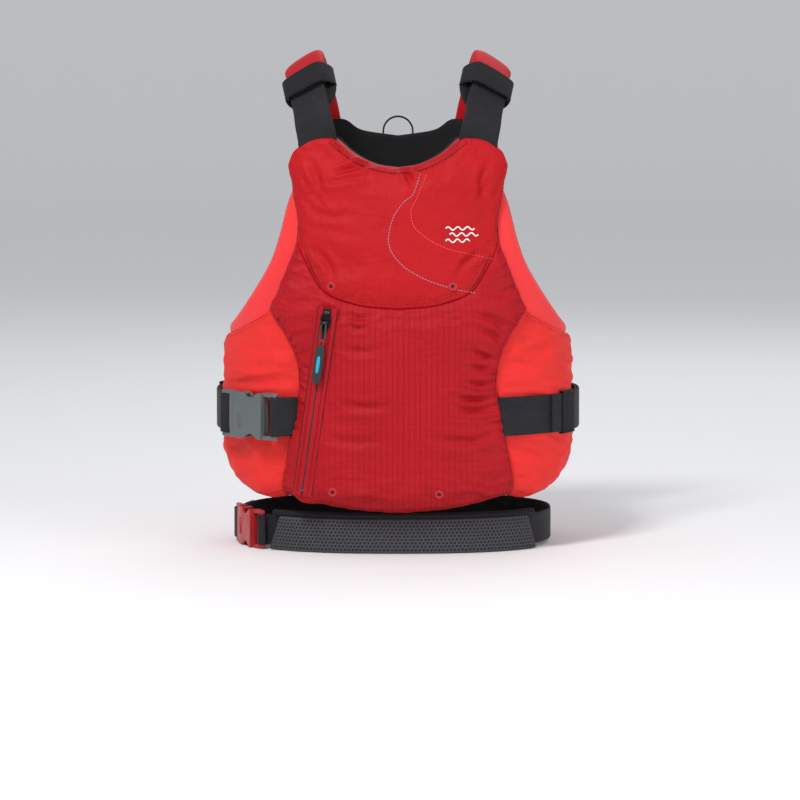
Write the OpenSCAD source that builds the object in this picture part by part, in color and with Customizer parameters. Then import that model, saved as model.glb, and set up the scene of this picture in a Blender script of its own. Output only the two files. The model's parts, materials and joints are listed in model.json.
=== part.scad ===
// Side-entry paddling life jacket: padded front and back panels on two
// adjustable shoulder straps, a side strap with a side-release buckle and a
// padded waist belt. Worn shape, standing on the belt. +Z up, front faces -Y,
// origin at the middle of the torso opening on the belt's lower edge.
// "Right" and "left" are the wearer's, so right is -X.

/* [Torso opening] */
// Half of the inside width
torso_a = 142; // [130:1:160]
// Half of the inside depth
torso_b = 98; // [88:1:112]
// Squareness of the opening, 2 is an ellipse
torso_n = 2.4; // [2:0.1:3]

/* [Padding] */
// Foam in the lower front
front_foam_t = 36; // [24:1:42]
// Foam in the chest
chest_foam_t = 32; // [22:1:38]
// Foam in the front and back side wings
wing_foam_t = 27; // [18:1:32]
// Foam in the back
back_foam_t = 24; // [16:1:30]
// Outer fabric with its backing
cover_t = 2; // [1.5:0.1:3]
// Lining fabric on the body side
lining_t = 2; // [1.5:0.1:3]

/* [Heights] */
// Where the chest and back start to lean inward
bend_z = 250; // [245:1:260]
// Lean of the chest panel above the bend, in degrees
chest_lean = 12; // [8:1:15]
// Lean of the back panel above the bend, in degrees
back_lean = 8; // [5:1:11]
// Height of the waist belt pad
belt_h = 34; // [30:1:38]

/* [Shoulder straps] */
// Height of the centre of the shoulder arch
arch_z = 377; // [374:1:380]
// Distance of each arch from the middle, at its foot
arch_x = 74; // [71:1:78]
// Outward lean of the arches, in degrees
arch_lean = 14; // [8:0.5:15]
// Inner radius of the shoulder straps
arch_r = 95; // [92:1:98]

/* [Webbing and hardware] */
// Side and shoulder strap webbing width
web_w = 38; // [36:1:38]
// Belt webbing width
belt_web_w = 30; // [28:1:30]
// Webbing thickness
web_t = 2.2; // [1.8:0.1:2.6]
// Height of the middle of the side straps
side_strap_z = 135; // [125:1:145]
// Running clearance between moving pieces
play = 0.3; // [0.25:0.05:0.4]

/* [Hidden] */
$fn = 48;

panel_red = [0.78, 0.09, 0.12];
wing_red = [0.88, 0.16, 0.14];
web_black = [0.10, 0.10, 0.11];
plastic_grey = [0.32, 0.34, 0.35];
plastic_red = [0.62, 0.05, 0.07];
mesh_grey = [0.26, 0.26, 0.28];
foam_grey = [0.60, 0.60, 0.62];
metal_grey = [0.45, 0.46, 0.48];
inlay_blue = [0.10, 0.60, 0.80];

gap = 0.4;                              // space between stacked layers and at seams
pad_in = lining_t + gap;                // distance from the torso curve where padding starts
pocket_out = pad_in + gap + front_foam_t + cover_t;
chest_out = pad_in + gap + chest_foam_t + cover_t;
wing_out = pad_in + gap + wing_foam_t + cover_t;
back_out = pad_in + gap + back_foam_t + cover_t;
back_wing_out = wing_out + 2;
mid_y = 7.83;                           // centre of the torso opening, so the jacket is centred
flats = 28;                             // flats along a curved panel
reach = 260;                            // longer than any panel's depth
front_edge_y = mid_y - 10;              // rear edge of the front wings
back_edge_y = mid_y + 20;               // front edge of the back wings

// ---- Torso curve: a squared ellipse, with offsets along its normal ----
function spow(v, e) = sign(v) * pow(abs(v), e);
function torso_xy(t) = [torso_a * spow(cos(t), 2 / torso_n), torso_b * spow(sin(t), 2 / torso_n)];
function torso_grad(p) =
    [spow(p.x / torso_a, torso_n - 1) / torso_a, spow(p.y / torso_b, torso_n - 1) / torso_b];
function torso_pt(t, off) =
    let (p = torso_xy(t), g = torso_grad(p)) p + off * g / norm(g) + [0, mid_y];
function torso_yaw(t) = let (g = torso_grad(torso_xy(t))) atan2(g.y, g.x);
// Angle on the front half where the offset curve reaches a given x
function t_at_x(x, off, lo = -179.9, hi = -0.1) =
    hi - lo < 0.01 ? lo
    : let (mid = (lo + hi) / 2)
        torso_pt(mid, off).x < x ? t_at_x(x, off, mid, hi) : t_at_x(x, off, lo, mid);
function arc_pts(t0, t1, off) = [for (i = [0:flats]) torso_pt(t0 + (t1 - t0) * i / flats, off)];
function backwards(v) = [for (i = [len(v) - 1:-1:0]) v[i]];

module wrap(t0, t1, off0, off1, z0, z1) {
    translate([0, 0, z0])
        linear_extrude(height = z1 - z0)
            polygon(concat(arc_pts(t0, t1, off1), backwards(arc_pts(t0, t1, off0))));
}

// Places children on the torso curve: +X outward, +Y along the curve
module on_torso(t, off, z) {
    p = torso_pt(t, off);
    translate([p.x, p.y, z]) rotate([0, 0, torso_yaw(t)]) children();
}

// A flat strip of thickness t that follows a path in the plan view
function side_of(p, i) =
    let (d = p[min(i + 1, len(p) - 1)] - p[max(i - 1, 0)]) [d.y, -d.x] / norm(d);
function beside(p, d) = [for (i = [0:len(p) - 1]) p[i] + d * side_of(p, i)];
module ribbon(path, t, w, z) {
    translate([0, 0, z - w / 2])
        linear_extrude(height = w)
            polygon(concat(beside(path, t / 2), backwards(beside(path, -t / 2))));
}

// ---- Panel outlines in the front view; each half runs from the bottom up ----
function mirrored(half) = concat(half, [for (p = backwards(half)) if (p.x > 0) [-p.x, p.y]]);
// 1 for an outline drawn anticlockwise, -1 for a clockwise one
function facing(p) =
    let (n = len(p))
    sign([for (i = [0:n - 1]) cross(p[i], p[(i + 1) % n])] * [for (i = [0:n - 1]) 1]);
function edge_side(a, b) = [a.y - b.y, b.x - a.x] / norm(b - a);
// The outline moved inward by d, with its corners kept
function inset(p, d) =
    let (n = len(p), s = facing(p) * d)
    [for (i = [0:n - 1])
        let (u = edge_side(p[(i + n - 1) % n], p[i]), v = edge_side(p[i], p[(i + 1) % n]))
        p[i] + s * (u + v) / (1 + u * v)];

seam_band = [[172, 206], [146, 222], [121, 240], [103, 285], [96, 306], [97, 326], [104, 355]];
seam_chest = [[48, 247], [66, 254], [78, 268]];
seam_wing = [[111, 56], [105, 90], [98, 130], [93, 160], [93, 180], [103, 205]];
hem_side = [[152, 52], [165, 62], [177, 88], [195, 110], [195, 203]];
neck_front = [[105, 372], [99, 392], [62, 404], [44, 391], [22, 381], [0, 378]];
function part_of(v, i, j) = [for (k = [i:j]) v[k]];

chest_outline = mirrored(concat([[0, 241]], seam_chest, part_of(seam_band, 4, 6), neck_front));
pocket_outline = mirrored(concat([[0, 40], [60, 46]], seam_wing, part_of(seam_band, 2, 4),
    backwards(seam_chest), [[0, 241]]));
wing_outline = concat(backwards(seam_wing), hem_side, part_of(seam_band, 0, 2));
band_outline = concat(seam_band, [[110, 352], [115, 320], [126, 284], [146, 246], [163, 219], [176, 211]]);
lining_outline = mirrored([[0, 42], [60, 48], [111, 58], [150, 54], [163, 64], [175, 90], [193, 112],
    [193, 201], [172, 204], [146, 220], [124, 284], [113, 320], [103, 372], [97, 390],
    [62, 402], [44, 389], [22, 379], [0, 376]]);
seam_back = [[110, 56], [104, 90], [98, 150], [104, 210]];
back_side = [122, 246];
lower_back_outline = mirrored(concat([[0, 50]], seam_back, [back_side, [0, 246]]));
upper_back_outline = mirrored([[0, 246], back_side, [112, 300], [108, 350], [112, 395], [108, 413],
    [58, 420], [36, 408], [0, 402]]);
back_wing_outline = concat(seam_back, [back_side, [146, 224], [174, 207], [200, 205], [200, 112],
    [180, 90], [165, 62], [152, 52]]);
back_lining_outline = mirrored([[0, 50], [110, 56], [152, 52], [165, 62], [200, 112], [200, 205],
    [146, 224], [122, 251]]);

// An outline pushed through the front half or the back half of the jacket
module front_cut(outline, d, start = front_edge_y) {
    translate([0, start, 0]) rotate([90, 0, 0])
        linear_extrude(height = reach) polygon(inset(outline, d));
}
module back_cut(outline, d) {
    translate([0, back_edge_y + reach, 0]) rotate([90, 0, 0])
        linear_extrude(height = reach) polygon(inset(outline, d));
}

// Curved layers: upright to the bend, leaning inward above it
module front_wrap(off0, off1) { wrap(-179, -1, off0, off1, 0, bend_z + 70); }
module front_lean(off0, off1, below) {
    translate([0, mid_y - torso_b, bend_z]) rotate([-chest_lean, 0, 0]) translate([0, torso_b - mid_y, 0])
        wrap(-179, -1, off0, off1, -below, 200);
}
module back_wrap(off0, off1) { wrap(1, 179, off0, off1, 0, bend_z); }
module back_lean_in(off0, off1, below) {
    translate([0, mid_y + torso_b, bend_z]) rotate([back_lean, 0, 0]) translate([0, -torso_b - mid_y, 0])
        wrap(1, 179, off0, off1, -below, 200);
}

// ---- Front panels ----
module pocket_cover() {
    color(panel_red) difference() {
        intersection() { front_wrap(pad_in, pocket_out); front_cut(pocket_outline, gap / 2); }
        intersection() {
            front_wrap(pad_in - 1, pocket_out - cover_t);
            front_cut(pocket_outline, gap / 2 + cover_t);
        }
        low_grommets() grommet_hole();
    }
}
module front_foam() {
    color(foam_grey) intersection() {
        front_wrap(pad_in, pocket_out - cover_t - gap);
        front_cut(pocket_outline, gap * 1.5 + cover_t);
    }
}
module chest_cover() {
    color(panel_red) difference() {
        intersection() { front_lean(pad_in, chest_out, 30); front_cut(chest_outline, gap / 2); }
        intersection() {
            front_lean(pad_in - 1, chest_out - cover_t, 40);
            front_cut(chest_outline, gap / 2 + cover_t);
        }
        high_grommets() grommet_hole();
    }
}
module chest_foam() {
    color(foam_grey) intersection() {
        front_lean(pad_in, chest_out - cover_t - gap, 30);
        front_cut(chest_outline, gap * 1.5 + cover_t);
    }
}
module front_lining() {
    color(web_black) difference() {
        intersection() {
            union() { wrap(-179, -1, 0, lining_t, 0, bend_z + 1); front_lean(0, lining_t, 0); }
            front_cut(lining_outline, gap);
        }
        // room for the pocket where the leaning lining reaches past it
        intersection() { front_wrap(pad_in - 0.1, pocket_out); front_cut(pocket_outline, 0); }
    }
}
module wing_cover() {
    color(wing_red) difference() {
        intersection() { front_wrap(pad_in, wing_out); front_cut(wing_outline, gap / 2); }
        intersection() {
            front_wrap(pad_in - 1, wing_out - cover_t);
            front_cut(wing_outline, gap / 2 + cover_t, front_edge_y - cover_t);
        }
    }
}
module wing_foam() {
    color(foam_grey) intersection() {
        front_wrap(pad_in, wing_out - cover_t - gap);
        front_cut(wing_outline, gap * 1.5 + cover_t, front_edge_y - cover_t - gap);
    }
}
module armhole_band() {
    color(wing_red) intersection() {
        union() {
            wrap(-179, -1, pad_in + 1, wing_out - 6, 0, bend_z + 4);
            front_lean(pad_in + 1, wing_out - 6, 0);
        }
        front_cut(band_outline, gap / 2);
    }
}

// ---- Drain grommets: eyelets in holes through the covers ----
hole_r = 3;
flange_r = 4.6;
eye_r = 2;
low_z = 62;
high_z = 263;
module low_grommets() {
    for (x = [-63, 40])
        on_torso(t_at_x(x, pocket_out), pocket_out, low_z) rotate([0, 90, 0]) children();
}
module high_grommets() {
    translate([0, mid_y - torso_b, bend_z]) rotate([-chest_lean, 0, 0])
        translate([0, torso_b - mid_y, high_z - bend_z])
            for (x = [-65, 53]) on_torso(t_at_x(x, chest_out), chest_out, 0) rotate([0, 90, 0]) children();
}
module grommet_hole() { cylinder(r = hole_r, h = 12, center = true); }
module grommet() {
    difference() {
        union() {
            translate([0, 0, -cover_t + 0.2]) cylinder(r = hole_r - 0.1, h = cover_t);
            translate([0, 0, 0.2]) cylinder(r = flange_r, h = 1);
        }
        cylinder(r = eye_r, h = 12, center = true);
    }
}
module drain_grommets() {
    color(panel_red) { low_grommets() grommet(); high_grommets() grommet(); }
}

// ---- Back panels ----
module lower_back_cover() {
    color(panel_red) difference() {
        intersection() { back_wrap(pad_in, back_out); back_cut(lower_back_outline, gap / 2); }
        intersection() {
            back_wrap(pad_in - 1, back_out - cover_t);
            back_cut(lower_back_outline, gap / 2 + cover_t);
        }
    }
}
module upper_back_cover() {
    color(panel_red) difference() {
        intersection() { back_lean_in(pad_in, back_out, 20); back_cut(upper_back_outline, gap / 2); }
        intersection() {
            back_lean_in(pad_in - 1, back_out - cover_t, 30);
            back_cut(upper_back_outline, gap / 2 + cover_t);
        }
    }
}
module lower_back_foam() {
    color(foam_grey) intersection() {
        back_wrap(pad_in, back_out - cover_t - gap);
        back_cut(lower_back_outline, gap * 1.5 + cover_t);
    }
}
module upper_back_foam() {
    color(foam_grey) intersection() {
        back_lean_in(pad_in, back_out - cover_t - gap, 20);
        back_cut(upper_back_outline, gap * 1.5 + cover_t);
    }
}
module back_lining() {
    color(web_black) union() {
        intersection() { back_wrap(0, lining_t); back_cut(back_lining_outline, gap); }
        intersection() { back_lean_in(0, lining_t, 0); back_cut(upper_back_outline, gap); }
    }
}
module back_wing() {
    color(wing_red) intersection() {
        wrap(1, 89, pad_in, back_wing_out, 0, bend_z);
        back_cut(back_wing_outline, gap / 2);
    }
}
loop_in_r = 14;
loop_w = 10;
loop_z = 406;                           // foot of the hang loop, on the back's top edge
module hang_loop() {
    lean_in = (loop_z - bend_z) * tan(back_lean);
    color(web_black)
    translate([0, mid_y + torso_b + back_out / 2 - lean_in + loop_w / 2, loop_z]) rotate([90, 0, 0])
        rotate_extrude(angle = 180) translate([loop_in_r, 0]) square([web_t, loop_w]);
}

// ---- Shoulder arches: angle 0 at the front foot, 90 on top, 180 at the back ----
arch_y = mid_y - 3;
web_r1 = arch_r + web_t;
tail_r0 = web_r1 + gap;
tail_r1 = tail_r0 + web_t;
lock_phi = 61;                          // place of the lock's rear bar
module arch_frame(side) {
    translate([side * arch_x, arch_y, arch_z]) rotate([0, side * arch_lean, 0]) children();
}
module arch_band(r0, r1, w, phi0, phi1) {
    rotate([90, 0, -90]) rotate([0, 0, phi0])
        rotate_extrude(angle = phi1 - phi0) translate([r0, -w / 2]) square([r1 - r0, w]);
}
// +X towards the front foot, +Z outward
module on_arch(phi, r) {
    rotate([90 - phi, 0, 0]) translate([0, 0, r]) rotate([0, 0, -90]) children();
}

// ---- Ladder lock: rear bar at the origin, +X towards the lip, +Z outward ----
bar_r = 2.2;
turn_r = bar_r + play;                  // inside of the webbing's turn round a bar
turn_out = turn_r + web_t;
bar_2 = 14;                             // second bar, which the adjustable strap turns round
lock_l = 25;
rail_w = 3.5;
function lock_inner(w) = w + 2;
lock_r = arch_r + turn_out;
pad_w = 52;
sleeve_in_w = pad_w + 1.2;
module cross_bar(x, z, length) {
    translate([x, 0, z]) rotate([90, 0, 0]) cylinder(r = bar_r, h = length, center = true);
}
module ladder_lock(w) {
    inner = lock_inner(w);
    for (x = [0, bar_2]) cross_bar(x, 0, inner + 1);
    for (s = [-1, 1]) translate([0, s * (inner + rail_w) / 2, 0]) {
        translate([0, -rail_w / 2, -bar_r]) cube([lock_l, rail_w, bar_r + turn_out + 2]);
        rotate([90, 0, 0]) cylinder(r = bar_r, h = rail_w, center = true);
    }
    translate([bar_2 + 6, -inner / 2 - 1, turn_out + 0.4]) cube([5, inner + 2, 1.6]);
}
// Webbing turned half round a bar that lies along Y, on its +X side
module half_turn() {
    rotate([90, 0, 0]) rotate([0, 0, -90])
        rotate_extrude(angle = 180) translate([turn_r, -web_w / 2]) square([web_t, web_w]);
}
mid_turn = turn_r + web_t / 2;
module shoulder_lock(side) {
    color(plastic_grey) arch_frame(side) on_arch(lock_phi, lock_r) ladder_lock(web_w);
}
// The strap runs up the arch, round the lock's second bar and back down as its own tail
function arch_pts(r, phi0, phi1) = [for (i = [0:flats]) r * unit(phi0 + (phi1 - phi0) * i / flats)];
function unit(a) = [cos(a), sin(a)];
// From the chest's top edge the strap rises and joins the arch at foot_phi
foot_phi = 32;
foot_in = 18;                           // how far the foot is set back from the arch's radius
function foot_pts(r) =
    let (p3 = r * unit(foot_phi), p2 = p3 - 15 * unit(foot_phi + 90),
        p0 = [arch_r - foot_in + 1.5 * (r - arch_r), 0], p1 = p0 + [0.6, 20])
    [for (i = [0:8]) let (u = i / 8)
        pow(1 - u, 3) * p0 + 3 * u * pow(1 - u, 2) * p1 + 3 * u * u * (1 - u) * p2 + pow(u, 3) * p3];
function arch_turn() =
    let (down = unit(lock_phi - 90), mid = lock_r * unit(lock_phi) + bar_2 * down)
    [for (a = [-90:-15:-300]) mid + mid_turn * (cos(a) * down + sin(a) * unit(lock_phi))];
module shoulder_strap(side) {
    path = concat(foot_pts(arch_r + web_t / 2), arch_pts(arch_r + web_t / 2, foot_phi + 2, lock_phi - 14),
        arch_turn(), arch_pts((tail_r0 + tail_r1) / 2, lock_phi - 24, foot_phi + 2),
        backwards(foot_pts((tail_r0 + tail_r1) / 2)));
    color(web_black) difference() {
        arch_frame(side) rotate([90, 0, -90]) ribbon(path, web_t, web_w, 0);
        front_cut(chest_outline, -gap);
    }
}
module yoke_loop(side) {
    color(web_black) arch_frame(side) on_arch(lock_phi, lock_r) {
        half_turn();
        for (z = [turn_r, -turn_out]) translate([-6.5, -web_w / 2, z]) cube([6.6, web_w, web_t]);
    }
}
module shoulder_pad(side) {
    color(web_black) arch_frame(side) intersection() {
        arch_band(arch_r - 5, arch_r - gap, pad_w, lock_phi - 25, lock_phi + 2);
        on_arch(lock_phi - 14, 0) union() {
            translate([-120, -pad_w / 2, 0]) cube([123, pad_w, 200]);
            cylinder(r = pad_w / 2, h = 200);
        }
    }
}
module strap_sleeve(side) {
    color(web_black) arch_frame(side) difference() {
        arch_band(arch_r - 7, lock_r + turn_out + 6.8, sleeve_in_w + 3.2, lock_phi - 14, lock_phi + 3);
        arch_band(arch_r - 5.4, lock_r + turn_out + 5.2, sleeve_in_w, lock_phi - 18, lock_phi + 7);
    }
}
module shoulder_yoke(side) {
    color(panel_red) difference() {
        arch_frame(side) arch_band(arch_r - 4, arch_r + 8, pad_w, lock_phi + 5, 181);
        back_cut(upper_back_outline, -gap);
    }
}

// ---- Side-release buckle: the plug leaves along +X, width along Y, +Z outward ----
module buckle_frame() { rotate([-90, 0, -90]) children(); }
socket_l = 36;
body_t = 12;
socket_bar = [-11, -3];                 // bar that holds the socket's webbing
plug_bars = [socket_l + 14, socket_l + 22];
plug_bar_z = -1.5;
prong_root = socket_l + 4;              // flex line of the prongs
prong_w = 3.6;
prong_t = 5.4;
guide_w = 5;
pin_play = 0.06;                        // running clearance round a pivot
barb_h = 1.5;
barb_x = 4;                             // front end of the barb
window = [3, 23.5];                     // opening the barb springs into
bay = prong_t + 2 * play;
function buckle_w(w) = w + 8;
function bay_w(w) = w - 4;
function prong_y(w) = bay_w(w) / 2 - prong_w / 2 - play;
module buckle_socket(w) {
    full = buckle_w(w);
    color(w > belt_web_w ? plastic_grey : plastic_red) difference() {
        union() {
            translate([0, -full / 2, -body_t / 2]) cube([socket_l, full, body_t]);
            for (s = [-1, 1]) translate([socket_bar.x - 2.5, s * (full / 2 - 2) - 2, -body_t / 2])
                cube([14, 4, body_t / 2]);
            cross_bar(socket_bar.x, socket_bar.y, full - 2);
        }
        translate([window[0], -bay_w(w) / 2, -bay / 2]) cube([socket_l, bay_w(w), bay]);
        translate([window[0], -full / 2 - 1, -bay / 2]) cube([window[1] - window[0], full + 2, bay]);
        for (s = [-1, 1])
            translate([15, s * (full / 2 + 7), 0]) cylinder(r = 10.5, h = body_t + 2, center = true);
    }
}
module buckle_plug(w) {
    full = buckle_w(w);
    color(w > belt_web_w ? plastic_grey : plastic_red) difference() {
        union() {
            translate([socket_l + 0.6, -full / 2, -4]) cube([8, full, 8]);
            translate([10, -guide_w / 2, -2]) cube([socket_l - 6, guide_w, 4]);
            for (s = [-1, 1]) translate([socket_l + 6, s * (full / 2 - 2) - 2, -4]) cube([18, 4, 6]);
            for (x = plug_bars) cross_bar(x, plug_bar_z, full - 2);
        }
        for (s = [-1, 1]) translate([prong_root, s * prong_y(w), 0]) {
            cylinder(r = prong_w / 2 + pin_play, h = bay, center = true);
            translate([-5, -prong_w / 2 - 1.2, -bay / 2]) cube([5, prong_w + 2.4, bay]);
        }
    }
}
// A flexing arm whose barb has a long rear ramp, so that it folds in as the plug moves
module prong(w, side) {
    half = prong_w / 2;
    color(w > belt_web_w ? plastic_grey : plastic_red)
    mirror([0, side < 0 ? 1 : 0, 0]) translate([0, prong_y(w), 0]) {
        translate([prong_root, 0, 0]) cylinder(r = half, h = prong_t, center = true);
        translate([0, 0, -prong_t / 2]) linear_extrude(height = prong_t)
            polygon([[prong_root, -half], [prong_root, half], [window[1] - 0.5, half],
                [barb_x + 4, half + barb_h], [barb_x + 1, half + barb_h],
                [barb_x, half], [barb_x, -half]]);
    }
}

// ---- Strap with the buckle, on the wearer's right side ----
strap_off = back_wing_out + 0.8;
strap_seam_x = 104.5;                    // front end of the side straps, at the wing seam
strap_mid = strap_off + web_t / 2;
tail_mid = strap_mid + web_t + gap;
side_t = -143.5;                        // place of the buckle on the torso curve
side_off = strap_off + 9;
buckle_mid = 26;
module at_side_buckle() {
    on_torso(side_t, side_off, side_strap_z) buckle_frame() translate([-buckle_mid, 0, 0]) children();
}
// Plan position of a point of a buckle, from its own x and z
function buckle_xy(t, off, x, z) =
    let (a = torso_yaw(t)) torso_pt(t, off) + z * [cos(a), sin(a)] + (x - buckle_mid) * [sin(a), -cos(a)];
function along(t0, t1, off, n = 12) = [for (i = [0:n]) torso_pt(t0 + (t1 - t0) * i / n, off)];
// Middle line of webbing turned round a buckle's bar, from angle a0 to a1
function turn_path(t, off, bar_x, bar_z, a0, a1) =
    [for (i = [0:12]) let (a = a0 + (a1 - a0) * i / 12)
        buckle_xy(t, off, bar_x + mid_turn * cos(a), bar_z + mid_turn * sin(a))];
// Middle line of the tail where it runs over the plug's outer bar
function over_bar(t, off) =
    [for (a = [90:-14:48])
        buckle_xy(t, off, plug_bars[1] + mid_turn * cos(a), plug_bar_z + mid_turn * sin(a))];
module side_strap_front() {
    seam_t = t_at_x(-strap_seam_x, pocket_out);
    path = concat([torso_pt(seam_t, strap_mid)],
        turn_path(side_t, side_off, socket_bar.x, socket_bar.y, -52, 143), [torso_pt(seam_t, tail_mid)]);
    color(web_black) ribbon(path, web_t, web_w, side_strap_z);
}
module side_strap_rear() {
    path = concat(along(158, 198, strap_mid),
        turn_path(side_t, side_off, plug_bars[0], plug_bar_z, -119, -270),
        over_bar(side_t, side_off), along(196, 160, tail_mid));
    color(web_black) ribbon(path, web_t, web_w, side_strap_z);
}
// A loop of webbing round a side strap and its tail
module strap_keeper(t0, t1) {
    inner = strap_off - 0.1;
    outer = tail_mid + web_t / 2 + gap;
    half = web_w / 2 + gap;
    color(web_black) difference() {
        wrap(t0, t1, inner - 0.6, outer + 1.2, side_strap_z - half - 1.2, side_strap_z + half + 1.2);
        wrap(t0 - 3, t1 + 3, inner, outer, side_strap_z - half, side_strap_z + half);
    }
}

// ---- Strap on the wearer's left side, with its adjuster at the back ----
lock_t = 40;
left_lock_off = strap_off + turn_out;
module at_left_lock() { on_torso(lock_t, left_lock_off, side_strap_z) buckle_frame() children(); }
module left_side_strap() {
    path = concat(along(t_at_x(strap_seam_x, pocket_out), 26, strap_mid, 30),
        turn_path(lock_t, left_lock_off, bar_2 + buckle_mid, 0, -104, -294), along(22, -34, tail_mid, 20));
    color(web_black) ribbon(path, web_t, web_w, side_strap_z);
}
module left_side_lock() { color(plastic_grey) at_left_lock() ladder_lock(web_w); }
module left_rear_strap() {
    path = concat(along(58, 46, strap_mid, 5), turn_path(lock_t, left_lock_off, buckle_mid, 0, -87, 105),
        along(50, 58, tail_mid, 5));
    color(web_black) ribbon(path, web_t, web_w, side_strap_z);
}

// ---- Waist belt ----
web_off = 9;                            // belt webbing, behind the pads
web_mid = web_off + web_t / 2;
pad_off = web_off + web_t + gap;
pad_t = 6;
belt_t = -163;
belt_off = 14;
belt_z = belt_web_w / 2 + 4;
module at_belt_buckle() {
    on_torso(belt_t, belt_off, belt_z) buckle_frame() translate([-buckle_mid, 0, 0]) children();
}
front_pad_t = [-136.5, -34];            // ends of the front pad on the torso curve
back_pad_t = [34, 146];                 // ends of the back pad
belt_join_t = 40;                       // where the two belt webbings meet, behind the back pad
module belt_front_pad() {
    color(mesh_grey) wrap(front_pad_t[0], front_pad_t[1], pad_off, pad_off + pad_t, 0, belt_h);
}
module belt_back_pad() { color(mesh_grey) wrap(back_pad_t[0], back_pad_t[1], pad_off, pad_off + pad_t, 0, belt_h); }
module belt_binding() {
    color(web_black)
        wrap(front_pad_t[0], front_pad_t[1], web_off, pad_off + pad_t, belt_h + gap, 40 - gap);
}
module belt_web_front() {
    path = concat(along(belt_join_t, -138, web_mid, 40),
        turn_path(belt_t, belt_off, socket_bar.x, socket_bar.y, -46, 140),
        [buckle_xy(belt_t, belt_off, socket_bar.x - 6, socket_bar.y - 1.5)]);
    color(web_black) ribbon(path, web_t, belt_web_w, belt_z);
}
module belt_web_back() {
    path = concat(along(belt_join_t + 0.3, 176, web_mid, 40),
        turn_path(belt_t, belt_off, plug_bars[0], plug_bar_z, -113, -270),
        over_bar(belt_t, belt_off), along(172, 160, web_mid + web_t + gap, 4));
    color(web_black) ribbon(path, web_t, belt_web_w, belt_z);
}

// ---- Pocket zip: straight line in the front view, +X outward, +Z up the zip ----
zip_top = [-68.5, 234];
zip_end = [-92, 66];
function on_pocket(x) = torso_pt(t_at_x(x, pocket_out), pocket_out);
zip_run = on_pocket(zip_end.x) - on_pocket(zip_top.x);
zip_drop = zip_top[1] - zip_end[1];
zip_len = norm([zip_run.x, zip_run.y, zip_drop]);
tape_x = 1.2;                           // back of the tape
coil_x = 2.3;
coil_t = 1.6;
coil_w = 5;
slider_l = 14;
slider_x = coil_x + coil_t + play;
hinge_x = slider_x + 4;
hinge_z = -5;
pull_r = 2;                             // barrel round the slider's bar
link_hole_z = hinge_z - 17.8;
cord_r = 3.2;
tab_hole_z = link_hole_z - 2 * cord_r;
tab_t = 3.2;
tab_l = 37;
module at_zip() {
    p = on_pocket(zip_top.x);
    translate([p.x, p.y, zip_top[1]]) rotate([0, 0, atan2(zip_run.x, -zip_run.y)])
        rotate([-atan2(norm(zip_run), zip_drop), 0, 0]) children();
}
module slab(x0, x1, w, z0, z1) { translate([x0, -w / 2, z0]) cube([x1 - x0, w, z1 - z0]); }
module zip_tape() { color(web_black) at_zip() slab(tape_x, tape_x + 1, 22, -zip_len - 6, 8); }
module zip_coil() { color(web_black) at_zip() slab(coil_x, coil_x + coil_t, coil_w, -zip_len, 3); }
module zip_stops() {
    color(metal_grey) at_zip()
        for (z = [4, -zip_len - 3]) slab(coil_x, coil_x + coil_t, coil_w + 1, z, z + 2);
}
module zip_slider() {
    color(web_black) at_zip() {
        slab(slider_x, slider_x + 1.5, 11, -slider_l + 2, 2);
        for (s = [-1, 1]) translate([0, s * 4.2, 0]) {
            slab(coil_x + 0.2, slider_x + 0.1, 2.6, -slider_l + 2, 2);
            translate([0, -s * 1.2, 0])
                slab(slider_x + 1.4, hinge_x + 1.2, 1.2, hinge_z - 1.5, hinge_z + 1.5);
        }
        translate([hinge_x, 0, hinge_z]) rotate([90, 0, 0]) cylinder(r = 0.9, h = 6, center = true);
    }
}
module zip_pull_link() {
    color(metal_grey) at_zip() difference() {
        union() {
            translate([hinge_x, 0, hinge_z]) rotate([90, 0, 0]) cylinder(r = pull_r, h = 4, center = true);
            slab(hinge_x - 0.8, hinge_x + 0.8, 4, hinge_z - 4, hinge_z);
            slab(hinge_x - 0.8, hinge_x + 0.8, 6.6, link_hole_z - 2.8, hinge_z - 3.9);
        }
        translate([hinge_x, 0, hinge_z]) rotate([90, 0, 0])
            cylinder(r = 0.9 + pin_play, h = 5, center = true);
        translate([hinge_x, 0, link_hole_z]) rotate([0, 90, 0]) cylinder(r = 1.6, h = 4, center = true);
    }
}
module zip_pull_cord() {
    color(plastic_red) at_zip() translate([hinge_x, 0, link_hole_z - cord_r]) rotate([90, 0, 0])
        rotate_extrude() translate([cord_r, 0]) circle(r = 0.8);
}
module zip_pull_tab() {
    color(web_black) at_zip() difference() {
        slab(hinge_x - tab_t / 2, hinge_x + tab_t / 2, 9, tab_hole_z + 2.8 - tab_l, tab_hole_z + 2.8);
        translate([hinge_x, 0, tab_hole_z]) rotate([0, 90, 0]) cylinder(r = 1.6, h = 5, center = true);
        slab(hinge_x + tab_t / 2 - 1, hinge_x + tab_t, 3.6, tab_hole_z - 26, tab_hole_z - 8.4);
    }
}
module zip_pull_inlay() {
    color(inlay_blue) at_zip()
        slab(hinge_x + tab_t / 2 - 0.9, hinge_x + tab_t / 2 + 0.8, 3.4, tab_hole_z - 25.9, tab_hole_z - 8.5);
}

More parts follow.
